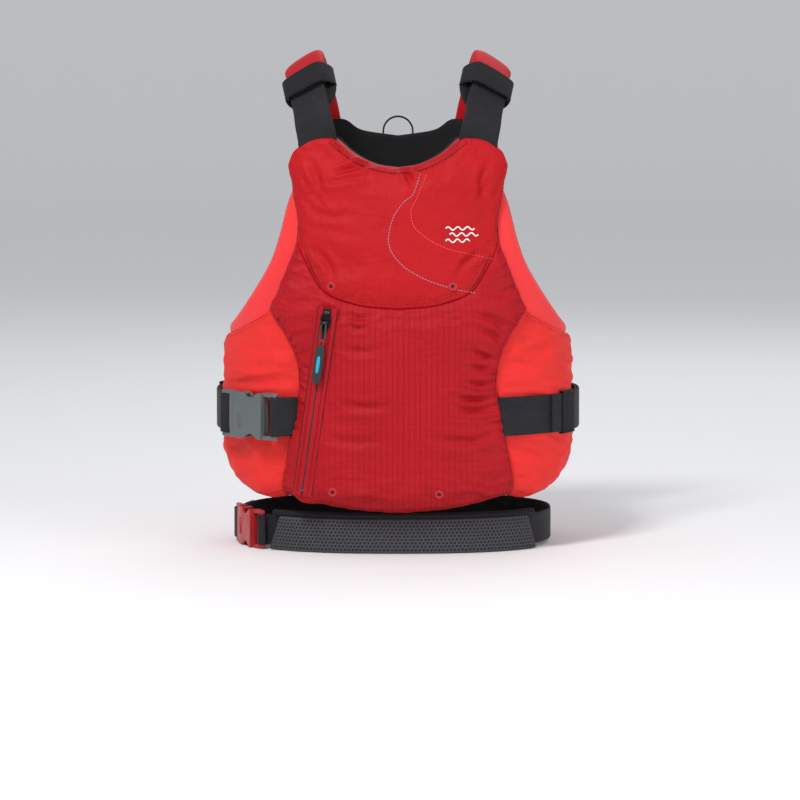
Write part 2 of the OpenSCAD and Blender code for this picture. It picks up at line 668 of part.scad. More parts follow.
// ---- One line per node ----
chest_cover();
chest_foam();
pocket_cover();
front_foam();
front_lining();
mirror([1, 0, 0]) wing_cover();  // right_wing_cover
wing_cover();  // left_wing_cover
mirror([1, 0, 0]) wing_foam();  // right_wing_foam
wing_foam();  // left_wing_foam
mirror([1, 0, 0]) armhole_band();  // right_armhole_band
armhole_band();  // left_armhole_band
drain_grommets();
lower_back_cover();
upper_back_cover();
lower_back_foam();
upper_back_foam();
back_lining();
mirror([1, 0, 0]) back_wing();  // right_back_wing
back_wing();  // left_back_wing
hang_loop();
shoulder_yoke(-1);  // right_shoulder_yoke
shoulder_yoke(1);  // left_shoulder_yoke
yoke_loop(-1);  // right_yoke_loop
yoke_loop(1);  // left_yoke_loop
shoulder_lock(-1);  // right_shoulder_lock
shoulder_lock(1);  // left_shoulder_lock
shoulder_strap(-1);  // right_shoulder_strap
shoulder_strap(1);  // left_shoulder_strap
shoulder_pad(-1);  // right_shoulder_pad
shoulder_pad(1);  // left_shoulder_pad
strap_sleeve(-1);  // right_strap_sleeve
strap_sleeve(1);  // left_strap_sleeve
side_strap_front();
side_strap_rear();
strap_keeper(163, 170);  // side_strap_keeper
at_side_buckle() buckle_socket(web_w);  // side_buckle_socket
at_side_buckle() buckle_plug(web_w);  // side_buckle_plug
at_side_buckle() prong(web_w, -1);  // side_upper_prong
at_side_buckle() prong(web_w, 1);  // side_lower_prong
left_side_strap();
strap_keeper(-27, -17);  // left_strap_keeper
left_side_lock();
left_rear_strap();
belt_front_pad();
belt_back_pad();
belt_binding();
belt_web_front();
belt_web_back();
at_belt_buckle() buckle_socket(belt_web_w);  // belt_buckle_socket
at_belt_buckle() buckle_plug(belt_web_w);  // belt_buckle_plug
at_belt_buckle() prong(belt_web_w, -1);  // belt_upper_prong
at_belt_buckle() prong(belt_web_w, 1);  // belt_lower_prong
zip_tape();
zip_coil();
zip_stops();
zip_slider();
zip_pull_link();
zip_pull_cord();
zip_pull_tab();
zip_pull_inlay();
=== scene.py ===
"""Looks of the side-entry life jacket: soft panels, webbing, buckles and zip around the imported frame."""

import json
import math
import time

import bmesh
import bpy
import numpy as np
from mathutils import Matrix, Vector, noise
from mathutils.bvhtree import BVHTree

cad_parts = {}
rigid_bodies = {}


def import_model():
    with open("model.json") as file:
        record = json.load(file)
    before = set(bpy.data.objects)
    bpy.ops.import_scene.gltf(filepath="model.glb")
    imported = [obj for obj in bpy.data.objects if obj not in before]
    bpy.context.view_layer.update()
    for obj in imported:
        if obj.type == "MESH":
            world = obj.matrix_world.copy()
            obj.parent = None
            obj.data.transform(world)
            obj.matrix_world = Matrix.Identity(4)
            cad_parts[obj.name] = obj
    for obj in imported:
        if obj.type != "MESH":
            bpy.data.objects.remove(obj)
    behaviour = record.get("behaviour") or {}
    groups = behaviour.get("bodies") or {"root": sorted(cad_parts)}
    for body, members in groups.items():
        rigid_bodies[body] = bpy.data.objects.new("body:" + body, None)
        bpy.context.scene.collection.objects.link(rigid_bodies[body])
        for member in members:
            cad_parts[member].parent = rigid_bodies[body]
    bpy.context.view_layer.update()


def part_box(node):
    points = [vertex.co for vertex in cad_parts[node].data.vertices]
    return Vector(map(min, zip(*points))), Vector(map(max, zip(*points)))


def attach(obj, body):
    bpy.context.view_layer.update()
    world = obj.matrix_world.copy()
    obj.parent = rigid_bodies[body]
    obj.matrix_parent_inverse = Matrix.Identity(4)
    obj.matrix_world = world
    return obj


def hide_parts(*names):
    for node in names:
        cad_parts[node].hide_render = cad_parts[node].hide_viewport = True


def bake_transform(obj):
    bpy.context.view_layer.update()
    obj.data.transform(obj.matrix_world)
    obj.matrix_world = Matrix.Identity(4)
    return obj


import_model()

MM = 0.001
RNG = np.random.default_rng(7)

# ---------------------------------------------------------------- torso surface
TORSO_A, TORSO_B, TORSO_N = 142.0, 98.0, 2.4   # half width, half depth, squareness of the opening
MID_Y = 7.83
BEND_Z = 250.0                                 # where chest and back start to lean inward
CHEST_LEAN = math.tan(math.radians(12))
BACK_LEAN = math.tan(math.radians(8))
BEND_SOFT = 22.0


def signed_power(v, e):
    return np.sign(v) * np.abs(v) ** e


def torso_table():
    """Arc length, point and outward normal round the torso, from the middle of the back by the right side to the front."""
    t = np.radians(np.linspace(-270, 90, 7201))
    p = np.stack([TORSO_A * signed_power(np.cos(t), 2 / TORSO_N), TORSO_B * signed_power(np.sin(t), 2 / TORSO_N)], 1)
    half = np.array([TORSO_A, TORSO_B])
    g = signed_power(p / half, TORSO_N - 1) / half
    n = g / np.linalg.norm(g, axis=1)[:, None]
    ring = p + 20 * n
    arc = np.concatenate([[0], np.cumsum(np.linalg.norm(np.diff(ring, axis=0), axis=1))])
    return arc - arc[len(arc) // 2], p, n


ARC, RING, NORMAL = torso_table()
GIRTH = ARC[-1] - ARC[0]
SIDE = GIRTH / 4                               # arc length from the front to the wearer's side


def ring_at(s):
    s = (np.asarray(s, float) + GIRTH / 2) % GIRTH - GIRTH / 2
    p = np.stack([np.interp(s, ARC, RING[:, k]) for k in (0, 1)], -1)
    n = np.stack([np.interp(s, ARC, NORMAL[:, k]) for k in (0, 1)], -1)
    return s, p, n / np.linalg.norm(n, axis=-1)[..., None]


def lean_at(s, z):
    above = (np.sqrt((z - BEND_Z) ** 2 + BEND_SOFT**2) + (z - BEND_Z)) / 2
    return np.where(np.abs(s) < SIDE, CHEST_LEAN, -BACK_LEAN) * above


def on_torso(s, z, h):
    """Points in millimetres at arc length s, height z and distance h outside the torso."""
    s, z, h = np.broadcast_arrays(np.asarray(s, float), np.asarray(z, float), np.asarray(h, float))
    s, p, n = ring_at(s)
    q = p + n * h[..., None]
    return np.stack([q[..., 0], q[..., 1] + MID_Y + lean_at(s, z), z], -1)


def out_of_torso(s):
    n = ring_at(s)[2]
    return np.concatenate([n, np.zeros(n.shape[:-1] + (1,))], -1)


def arc_at(x, h, back=False):
    """Arc length where the curve at distance h reaches a given x, on the front or the back half."""
    xs = RING[:, 0] + h * NORMAL[:, 0]
    front = np.abs(ARC) < SIDE
    if not back:
        return np.interp(x, xs[front], ARC[front])
    left = ARC >= SIDE
    return np.where(np.asarray(x) >= 0, 1, -1) * np.interp(-np.abs(x), -xs[left], ARC[left])


# ---------------------------------------------------------------- curves
def smooth(points, per=14):
    """A Catmull-Rom curve through the points."""
    p = np.array(points, float)
    p = np.concatenate([[2 * p[0] - p[1]], p, [2 * p[-1] - p[-2]]])
    u = np.linspace(0, 1, per, endpoint=False)[:, None]
    out = []
    for a, b, c, d in zip(p[:-3], p[1:-2], p[2:-1], p[3:]):
        out.append(0.5 * (2 * b + (c - a) * u + (2 * a - 5 * b + 4 * c - d) * u**2 + (3 * b - a - 3 * c + d) * u**3))
    return np.concatenate(out + [p[-2:-1]])


def resample(line, n):
    line = np.asarray(line, float)
    d = np.concatenate([[0], np.cumsum(np.linalg.norm(np.diff(line, axis=0), axis=1))])
    u = np.linspace(0, d[-1], n + 1)
    return np.stack([np.interp(u, d, line[:, k]) for k in range(line.shape[1])], 1)


def spaced(line, step):
    length = np.linalg.norm(np.diff(line, axis=0), axis=1).sum()
    return resample(line, max(2, round(length / step)))


def unit(v):
    return v / np.maximum(np.linalg.norm(v, axis=-1), 1e-9)[..., None]


def fade(x, a, b):
    """Smooth step from 0 at a to 1 at b."""
    u = np.clip((np.asarray(x, float) - a) / (b - a), 0, 1)
    return u * u * (3 - 2 * u)


# ---------------------------------------------------------------- meshes
def make(name, verts, faces, body, material, uv=None, shade=True):
    """A mesh from points in millimetres, riding on a body."""
    mesh = bpy.data.meshes.new(name)
    mesh.from_pydata([tuple(v) for v in np.asarray(verts) * MM], [], faces)
    if uv is not None:
        layer = mesh.uv_layers.new(name="UVMap").data
        index = np.zeros(len(mesh.loops), int)
        mesh.loops.foreach_get("vertex_index", index)
        layer.foreach_set("uv", (np.asarray(uv)[index] * MM).astype(np.float32).ravel())
    mesh.update()
    obj = bpy.data.objects.new(name, mesh)
    bpy.context.scene.collection.objects.link(obj)
    tidy(obj)
    if shade:
        mesh.shade_smooth()
    mesh.materials.append(material)
    if body:
        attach(obj, body)
    return obj


def tidy(obj):
    bm = bmesh.new()
    bm.from_mesh(obj.data)
    bmesh.ops.recalc_face_normals(bm, faces=bm.faces)
    bm.to_mesh(obj.data)
    bm.free()


def subdivide(obj, levels=1):
    mod = obj.modifiers.new("subdivision", "SUBSURF")
    mod.levels = mod.render_levels = levels
    return obj


def bevel(obj, width, segments=3, angle=35):
    mod = obj.modifiers.new("bevel", "BEVEL")
    mod.width = width * MM
    mod.segments = segments
    mod.limit_method = "ANGLE"
    mod.angle_limit = math.radians(angle)
    mod.harden_normals = False
    return obj


def grid_faces(rows, cols, start=0, flip=False, wrap=False):
    faces = []
    for r in range(rows - 1):
        for c in range(cols if wrap else cols - 1):
            d = (c + 1) % cols
            f = (start + r * cols + c, start + r * cols + d, start + (r + 1) * cols + d, start + (r + 1) * cols + c)
            faces.append(f[::-1] if flip else f)
    return faces


def sweep(name, path, across, up, profile, body, material, closed=False, warp=None):
    """Moves a closed profile along a path; across and up are the profile's axes at each path point."""
    path, across, up = (np.asarray(a, float) for a in (path, across, up))
    across, up = np.broadcast_to(across, path.shape), np.broadcast_to(up, path.shape)
    profile = np.asarray(profile, float)
    verts = path[:, None] + across[:, None] * profile[None, :, :1] + up[:, None] * profile[None, :, 1:2]
    rows, cols = verts.shape[:2]
    faces = grid_faces(rows, cols, wrap=True)
    if closed:
        last = (rows - 1) * cols
        faces += [(last + c, last + (c + 1) % cols, (c + 1) % cols, c) for c in range(cols)]
    else:
        faces += [tuple(range(cols))[::-1], tuple(range((rows - 1) * cols, rows * cols))]
    run = np.concatenate([[0], np.cumsum(np.linalg.norm(np.diff(path, axis=0), axis=1))])
    uv = np.stack(np.broadcast_arrays(run[:, None], profile[None, :, 0]), -1).reshape(-1, 2)
    if warp:
        verts = warp(verts)
    return make(name, verts.reshape(-1, 3), faces, body, material, uv)


def circle(radius, n=10, squash=1.0):
    a = np.linspace(0, 2 * math.pi, n, endpoint=False)
    return np.stack([radius * np.cos(a), radius * squash * np.sin(a)], 1)


def frames(path, hint):
    """Across and up directions along a path, with up as near as can be to the hint."""
    tangent = unit(np.gradient(path, axis=0))
    across = unit(np.cross(tangent, hint))
    return across, unit(np.cross(across, tangent))


def tube(name, path, radius, body, material, hint=(0, 0, 1), n=8, squash=1.0, closed=False):
    across, up = frames(path, np.broadcast_to(hint, path.shape))
    return sweep(name, path, across, up, circle(radius, n, squash), body, material, closed)


def webbing_profile(width, thick, ribs=11, depth=0.22, per=5):
    """Cross-section of ribbed webbing: ribs across both faces and rounded selvedges."""
    u = np.linspace(-1, 1, ribs * per + 1)
    ridge = depth * (np.cos(u * ribs * math.pi) - 1) / 2
    face = np.stack([u * (width / 2 - thick / 3), thick / 2 + ridge], 1)
    edge = [[width / 2, thick / 4], [width / 2, -thick / 4]]
    return np.concatenate([face, edge, -face, [[-width / 2, -thick / 4], [-width / 2, thick / 4]]])


def strip_profile(width, thick, n=8):
    """Flat strip with rounded edges."""
    u = np.linspace(-1, 1, n)
    face = np.stack([u * (width / 2 - thick / 2), np.full(n, thick / 2)], 1)
    edge = [[width / 2, 0]]
    return np.concatenate([face, edge, -face, [[-width / 2, 0]]])


# ---------------------------------------------------------------- materials
def nodes_of(name, color, roughness, metallic=0.0):
    material = bpy.data.materials.new(name)
    material.use_nodes = True
    tree = material.node_tree
    shader = tree.nodes["Principled BSDF"]
    shader.inputs["Base Color"].default_value = (*color, 1)
    shader.inputs["Roughness"].default_value = roughness
    shader.inputs["Metallic"].default_value = metallic
    return material, tree, shader


def linear(r, g, b):
    """Scene colour of an 8-bit screen colour."""
    return tuple(c / 255 / 12.92 if c / 255 <= 0.04045 else ((c / 255 + 0.055) / 1.055) ** 2.4 for c in (r, g, b))


def math_node(tree, operation, a, b=None, c=None):
    node = tree.nodes.new("ShaderNodeMath")
    node.operation = operation
    for socket, value in zip(node.inputs, (a, b, c)):
        if value is None:
            continue
        if hasattr(value, "is_output"):
            tree.links.new(value, socket)
        else:
            socket.default_value = value
    return node.outputs[0]


def noise_node(tree, vector, scale, detail=3.0, roughness=0.55):
    node = tree.nodes.new("ShaderNodeTexNoise")
    node.inputs["Scale"].default_value = scale
    node.inputs["Detail"].default_value = detail
    node.inputs["Roughness"].default_value = roughness
    tree.links.new(vector, node.inputs["Vector"])
    return node.outputs["Fac"]


def coordinates(tree, kind="Object"):
    return tree.nodes.new("ShaderNodeTexCoord").outputs[kind]


def mix_color(tree, factor, a, b):
    node = tree.nodes.new("ShaderNodeMix")
    node.data_type = "RGBA"
    tree.links.new(factor, node.inputs["Factor"])
    for socket, value in ((node.inputs["A"], a), (node.inputs["B"], b)):
        if hasattr(value, "is_output"):
            tree.links.new(value, socket)
        else:
            socket.default_value = (*value, 1)
    return node.outputs["Result"]


def bump(tree, shader, height, strength, distance):
    node = tree.nodes.new("ShaderNodeBump")
    node.inputs["Strength"].default_value = strength
    node.inputs["Distance"].default_value = distance * MM
    tree.links.new(height, node.inputs["Height"])
    tree.links.new(node.outputs["Normal"], shader.inputs["Normal"])


def line_mask(tree, coordinate, pitch, width):
    """One on thin lines that repeat every pitch, in millimetres."""
    turns = math_node(tree, "MULTIPLY", coordinate, 1 / (pitch * MM))
    away = math_node(tree, "PINGPONG", turns, 0.5)
    return math_node(tree, "LESS_THAN", away, width / pitch / 2)


def ripstop(name, color, line_strength, pitch=(3.1, 3.1), level_strength=0.8, spread=300, roughness=0.56):
    """Coated woven nylon with a grid of thicker threads; the upright ones fade beyond the spread from the middle."""
    material, tree, shader = nodes_of(name, color, roughness)
    uv = tree.nodes.new("ShaderNodeSeparateXYZ")
    tree.links.new(coordinates(tree, "UV"), uv.inputs[0])
    u, v = uv.outputs[0], uv.outputs[1]
    upright = line_mask(tree, u, pitch[0], pitch[0] * 0.15)
    level = line_mask(tree, v, pitch[1], pitch[1] * 0.13)
    away = math_node(tree, "DIVIDE", math_node(tree, "ABSOLUTE", u), spread * MM)
    shown = math_node(tree, "MAXIMUM", 0.3, math_node(tree, "MINIMUM", 1.0, math_node(tree, "SUBTRACT", 2.0, away)))
    broken = math_node(tree, "ADD", 0.55, math_node(tree, "MULTIPLY", noise_node(tree, coordinates(tree), 260, 2), 0.9))
    upright = math_node(tree, "MULTIPLY", math_node(tree, "MULTIPLY", upright, shown), broken)
    lines = math_node(tree, "MAXIMUM", upright, math_node(tree, "MULTIPLY", level, level_strength))
    cloud = noise_node(tree, coordinates(tree), 22, 4)
    fleck = noise_node(tree, coordinates(tree), 900, 2)
    dark = tuple(c * 0.62 for c in color)
    light = tuple(min(1, c * 1.12 + 0.004) for c in color)
    deep = tuple(c * 0.86 for c in color)
    base = mix_color(tree, cloud, deep, light)
    base = mix_color(tree, math_node(tree, "MULTIPLY", fleck, 0.16), base, deep)
    base = mix_color(tree, math_node(tree, "MULTIPLY", lines, line_strength), base, dark)
    tree.links.new(base, shader.inputs["Base Color"])
    weave = math_node(tree, "MULTIPLY",
        math_node(tree, "SINE", math_node(tree, "MULTIPLY", u, math.tau / (0.9 * MM))),
        math_node(tree, "SINE", math_node(tree, "MULTIPLY", v, math.tau / (0.9 * MM))))
    height = math_node(tree, "ADD", math_node(tree, "MULTIPLY", lines, 0.7), math_node(tree, "MULTIPLY", weave, 0.25))
    height = math_node(tree, "ADD", height, math_node(tree, "MULTIPLY", fleck, 0.35))
    bump(tree, shader, height, 0.45, 0.22)
    rough = math_node(tree, "ADD", math_node(tree, "MULTIPLY", cloud, 0.16), roughness - 0.08)
    tree.links.new(rough, shader.inputs["Roughness"])
    shader.inputs["Specular IOR Level"].default_value = 0.15
    return material


def knit(name, color, scale=1400, contrast=0.25, roughness=0.75, sheen=0.03, depth=0.18):
    """Matte cloth: stretch binding, neoprene facing, lining."""
    material, tree, shader = nodes_of(name, color, roughness)
    place = coordinates(tree)
    fine = noise_node(tree, place, scale, 2)
    cloud = noise_node(tree, place, 30, 4)
    mixed = math_node(tree, "ADD", math_node(tree, "MULTIPLY", fine, 0.5), math_node(tree, "MULTIPLY", cloud, 0.5))
    low = tuple(c * (1 - contrast) for c in color)
    high = tuple(min(1, c * (1 + contrast) + 0.003) for c in color)
    tree.links.new(mix_color(tree, mixed, low, high), shader.inputs["Base Color"])
    bump(tree, shader, fine, 0.5, depth)
    shader.inputs["Sheen Weight"].default_value = sheen
    shader.inputs["Sheen Roughness"].default_value = 0.5
    shader.inputs["Specular IOR Level"].default_value = 0.2
    return material


def webbing(name, color, pitch=1.7):
    """Polyester webbing: crossing yarns under the modelled ribs."""
    material, tree, shader = nodes_of(name, color, 0.62)
    uv = tree.nodes.new("ShaderNodeSeparateXYZ")
    tree.links.new(coordinates(tree, "UV"), uv.inputs[0])
    along = math_node(tree, "SINE", math_node(tree, "MULTIPLY", uv.outputs[0], math.tau / (pitch * MM)))
    over = math_node(tree, "SINE", math_node(tree, "MULTIPLY", uv.outputs[1], math.tau / (2.4 * MM)))
    yarn = math_node(tree, "MULTIPLY", along, over)
    cloud = noise_node(tree, coordinates(tree), 60, 4)
    fine = noise_node(tree, coordinates(tree), 1600, 2)
    shade = math_node(tree, "ADD", math_node(tree, "MULTIPLY", yarn, 0.28), cloud)
    low = tuple(c * 0.62 for c in color)
    high = tuple(c * 1.45 + 0.004 for c in color)
    tree.links.new(mix_color(tree, shade, low, high), shader.inputs["Base Color"])
    bump(tree, shader, math_node(tree, "ADD", yarn, fine), 0.5, 0.15)
    shader.inputs["Sheen Weight"].default_value = 0.04
    shader.inputs["Specular IOR Level"].default_value = 0.2
    return material


def moulded(name, color, roughness=0.42, metallic=0.0, grain=0.05, worn=0.35):
    """Moulded plastic, rubber or cast metal with fine grain and lighter worn edges."""
    material, tree, shader = nodes_of(name, color, roughness, metallic)
    place = coordinates(tree)
    cloud = noise_node(tree, place, 90, 4)
    fine = noise_node(tree, place, 2600, 2)
    geometry = tree.nodes.new("ShaderNodeNewGeometry")
    edge = math_node(tree, "GREATER_THAN", geometry.outputs["Pointiness"], 0.54)
    wear = math_node(tree, "MULTIPLY", edge, math_node(tree, "MULTIPLY", cloud, worn))
    low = tuple(c * 0.85 for c in color)
    high = tuple(min(1, c * 1.25 + 0.02) for c in color)
    base = mix_color(tree, cloud, low, color)
    tree.links.new(mix_color(tree, wear, base, high), shader.inputs["Base Color"])
    tree.links.new(math_node(tree, "ADD", math_node(tree, "MULTIPLY", cloud, 0.18), roughness - 0.08),
        shader.inputs["Roughness"])
    bump(tree, shader, fine, 0.35, grain)
    return material


CHEST_RED = ripstop("ripstop_chest", linear(186, 18, 26), 0.22)
POCKET_RED = ripstop("ripstop_pocket", linear(177, 16, 28), 0.85, (5.2, 5.2), 0.16, 48)
WING_RED = ripstop("ripstop_wing", linear(236, 50, 46), 0.14)
BAND_RED = knit("stretch_binding", linear(240, 56, 58), 1100, 0.12, 0.6, 0.1, 0.1)
LINING = knit("lining_knit", linear(40, 40, 43), 900, 0.4)
NEOPRENE = knit("neoprene", linear(25, 25, 27), 1500, 0.3, 0.8, 0.04)
BLACK_WEB = webbing("black_webbing", linear(30, 29, 33))
BLACK_TAPE = knit("black_tape", linear(27, 27, 29), 1800, 0.3, 0.78, 0.04)
MESH_GREY = knit("spacer_mesh", linear(62, 62, 67), 1700, 0.35, 0.8)
MESH_BACK = knit("spacer_mesh_back", linear(24, 24, 26), 900, 0.3, 0.85)
GREY_PLASTIC = moulded("grey_acetal", linear(96, 102, 104), 0.38)
RED_PLASTIC = moulded("red_acetal", linear(178, 24, 30), 0.32)
EYELET_RED = moulded("eyelet_red", linear(186, 22, 32), 0.6)
# Painted shade: a near-black red for the discs that stand in for the shade inside the eyelet holes
EYELET_HOLE_SHADE = moulded("eyelet_bore", linear(58, 8, 14), 0.7)
BLACK_METAL = moulded("black_metal", linear(34, 34, 36), 0.3, 0.8, 0.02, 0.8)
GREY_METAL = moulded("grey_metal", linear(84, 86, 89), 0.34, 0.9, 0.02)
BLACK_RUBBER = moulded("black_rubber", linear(44, 42, 43), 0.6, 0.0, 0.08)
BLUE_RUBBER = moulded("blue_rubber", linear(40, 165, 205), 0.5, 0.0, 0.05)
RED_CORD = knit("red_cord", linear(170, 22, 30), 1500, 0.35)
RED_THREAD = knit("red_thread", linear(150, 20, 28), 2600, 0.3, 0.6)
# Dark red thread for the hem and neck stitching; the same material paints the shade cords along the seams
DARK_THREAD_AND_SEAM_SHADE = knit("dark_red_thread", linear(104, 12, 20), 2600, 0.3, 0.6)
GREY_THREAD = knit("grey_blue_thread", linear(150, 150, 168), 2600, 0.2, 0.5)
PINK_THREAD = knit("salmon_thread", linear(226, 98, 84), 2600, 0.2, 0.5)
WHITE_THREAD = knit("white_thread", linear(232, 230, 228), 2600, 0.1, 0.5)

# ---------------------------------------------------------------- padded panels
LINING_OUT = 2.4
POCKET_T, CHEST_T, WING_T, BACK_T, BACK_WING_T = 39.5, 35.0, 30.5, 29.0, 32.0
REAR_EDGE = arc_at(172.5, 30)                  # rear edge of the front wings


def front(points, h):
    """Outline points (x, z) of the front view turned into (arc length, z)."""
    p = np.array(points, float)
    return np.stack([arc_at(p[:, 0], h), p[:, 1]], 1)


def rear(points, h):
    p = np.array(points, float)
    s = arc_at(p[:, 0], h, back=True)
    return np.stack([np.where(s < 0, s + GIRTH, s), p[:, 1]], 1)


def flip(line):
    """Mirrors a (arc length, z) line to the wearer's other side and turns it round."""
    return (np.asarray(line) * [-1, 1])[::-1]


def join(*lines):
    return np.concatenate([lines[0]] + [np.asarray(line)[1:] for line in lines[1:]])


def coons(bottom, right, top, left, n, m):
    """Grid of points inside four boundary lines."""
    b, t = resample(bottom, n), resample(top, n)
    l, r = resample(left, m), resample(right, m)
    u = np.linspace(0, 1, n + 1)[None, :, None]
    v = np.linspace(0, 1, m + 1)[:, None, None]
    ruled = (1 - v) * b[None] + v * t[None] + (1 - u) * l[:, None] + u * r[:, None]
    corner = (1 - u) * (1 - v) * b[0] + u * (1 - v) * b[-1] + (1 - u) * v * t[0] + u * v * t[-1]
    return ruled - corner


def nearest(points, line):
    """Distance and position along the line of the point of the line nearest to each point."""
    dense = spaced(line, 1.5)
    run = np.concatenate([[0], np.cumsum(np.linalg.norm(np.diff(dense, axis=0), axis=1))])
    flat = points.reshape(-1, 2)
    best, where = np.full(len(flat), 1e9), np.zeros(len(flat))
    for start in range(0, len(flat), 2000):
        d = np.linalg.norm(flat[start:start + 2000, None] - dense[None], axis=2)
        k = d.argmin(1)
        best[start:start + 2000] = d[np.arange(len(k)), k]
        where[start:start + 2000] = run[k]
    return best.reshape(points.shape[:2]), where.reshape(points.shape[:2])


def perlin(x, y, z=0.0):
    return noise.noise(Vector((x, y, z)))


def gathers(run, seed, pitch):
    """Irregular folds along a seam: a height between -1 and 1 for each position."""
    table = np.array([perlin(k * 0.5 / pitch, seed) + 0.5 * perlin(k * 1.1 / pitch, seed + 9) for k in range(1600)])
    return np.interp(run, np.arange(1600), table) * 2.2


def along_side(value, run):
    """A number, or a list of (fraction of the side, value) pairs."""
    if not isinstance(value, list):
        return value
    return np.interp(run / max(run.max(), 1), [p[0] for p in value], [p[1] for p in value])


FOLD_DEPTH = 1.5                               # scale of the drawn folds
HELD = {}                                      # lines where a panel stays smooth, such as the zip
CREASES = {}                                   # seams, gathers and folds of each panel
FREEDOM = {}                                   # how far cloth may move each point of a panel, 0 to 1
RIM_CREASE = 0.75                              # keeps a panel's rim from shrinking when it is subdivided
SEAM_HOLD = 20.0                               # distance over which a seam holds the cloth down


def pillow(name, sides, cells, thick, edge_h, edge_r, material, puckers=(), swell=None, inner=LINING_OUT + 0.4,
        settle=None, folds=()):
    """A closed padded panel inside four boundary lines, thin at its seams and thick in the middle."""
    grid = coons(*sides, *cells)
    near = [nearest(grid, side) for side in sides]
    loss = np.zeros(grid.shape[:2])
    for (d, run), h, r in zip(near, edge_h, edge_r):
        full = 1 - np.clip(d / along_side(r, run), 0, 1)
        edge = along_side(h, run)
        loss += ((thick - edge) * (1 - np.sqrt(1 - full**2))) ** 3
    height = thick - np.cbrt(loss)
    if swell is not None:
        height += swell(grid[..., 0], grid[..., 1]) * np.clip(np.minimum.reduce([d for d, _ in near]) / 12, 0, 1)
    if settle:
        line, low, high, wide = settle
        d = nearest(grid, line)[0]
        target = low + (high - low) * fade(d, 4.5, 9.5)
        height += (target - height) * np.exp(-((d / wide) ** 4))
    rows, cols = grid.shape[:2]
    outer = on_torso(grid[..., 0], grid[..., 1], np.maximum(height, inner + 0.8)).reshape(-1, 3)
    back = on_torso(grid[..., 0], grid[..., 1], inner).reshape(-1, 3)
    count = rows * cols
    faces = grid_faces(rows, cols) + grid_faces(rows, cols, count, flip=True)
    rim = [c for c in range(cols)] + [r * cols + cols - 1 for r in range(1, rows)]
    rim += [(rows - 1) * cols + c for c in range(cols - 2, -1, -1)] + [r * cols for r in range(rows - 2, 0, -1)]
    for a, b in zip(rim, rim[1:] + rim[:1]):
        faces.append((b, a, a + count, b + count))
    obj = make(name, np.concatenate([outer, back]), faces, "jacket", material, np.tile(grid.reshape(-1, 2), (2, 1)))
    free = np.clip(np.minimum.reduce([d for d, _ in near]) / SEAM_HOLD, 0, 1) ** 1.5
    if settle:
        free *= 1 - np.exp(-((nearest(grid, settle[0])[0] / settle[3]) ** 4))
    if settle:
        HELD[name] = (settle[0], 7.0)
    crease = obj.data.attributes.new("crease_edge", "FLOAT", "EDGE")
    on_rim = np.zeros(2 * count, bool)
    on_rim[rim] = True
    ends = np.array([e.vertices[:] for e in obj.data.edges])
    crease.data.foreach_set("value", (on_rim[ends].all(1) * RIM_CREASE).astype(np.float32))
    CREASES[name] = (sides, puckers, folds)
    FREEDOM[name] = np.concatenate([free.ravel(), np.zeros(count)])
    obj["outer"] = count
    return obj


def cells_of(sides, step=3.6):
    lengths = [np.linalg.norm(np.diff(side, axis=0), axis=1).sum() for side in sides]
    return int(max(lengths[0], lengths[2]) // step) + 1, int(max(lengths[1], lengths[3]) // step) + 1


# Seams of the front, wearer's left half; the right half is mirrored
BAND_SEAM = [(104, 357), (97, 330), (95.5, 306), (103, 284), (121, 240), (146, 221), (169, 207)]
SEAM_H = 24
band_seam = front(smooth(BAND_SEAM), SEAM_H)
band_upper = front(smooth(BAND_SEAM)[:2 * 14 + 1], SEAM_H)
band_middle = front(smooth(BAND_SEAM)[2 * 14:4 * 14 + 1], SEAM_H)
band_lower = front(smooth(BAND_SEAM)[4 * 14:], SEAM_H)
wing_seam = front(smooth([(111, 56), (106, 88), (98, 130), (93, 160), (92.5, 180), (103, 210), (121, 240)]), SEAM_H)
half_chest_seam = front(smooth([(0, 241), (28, 243), (48, 247.5), (66, 255), (78, 269), (95.5, 306)]), 34)
hem = front(smooth([(0, 39), (55, 44), (111, 56)]), 30)
neck = front(smooth([(0, 377), (22, 380.5), (44, 391), (62, 406)]), 26)
strap_edge = front(smooth([(62, 406), (76, 405), (88, 401), (99, 392)]), 26)
chest_side = front(smooth([(104, 357), (105, 376), (99, 392)]), SEAM_H)
wing_hem = np.concatenate([front([(111, 56)], SEAM_H), front([(134, 51), (152, 54), (165, 66)], 30), [[REAR_EDGE, 96]]])
wing_rear = np.array([[REAR_EDGE, 96], [REAR_EDGE + 1.5, 146], [REAR_EDGE, 198]])

pocket_sides = (join(flip(hem), hem), join(wing_seam, band_middle[::-1]),
    join(flip(half_chest_seam), half_chest_seam), join(flip(wing_seam)[::-1], flip(band_middle)))
chest_sides = (join(flip(half_chest_seam), half_chest_seam), join(band_upper[::-1], chest_side),
    join(flip(strap_edge), flip(neck), neck, strap_edge), join(flip(band_upper), flip(chest_side)[::-1]))
wing_sides = (smooth(wing_hem), smooth(wing_rear), join(band_lower, [band_lower[-1], [REAR_EDGE, 198]]), wing_seam)


def ridged(x, y, seed):
    """Noise with sharp valleys between rounded ridges, from -1 to 1."""
    return 1 - 2.6 * abs(perlin(x, y, seed)) - 0.25


def on_grid(rule):
    def swell(s, z):
        out = np.zeros(s.shape)
        for index in np.ndindex(s.shape):
            out[index] = rule(s[index], z[index])
        return out
    return swell


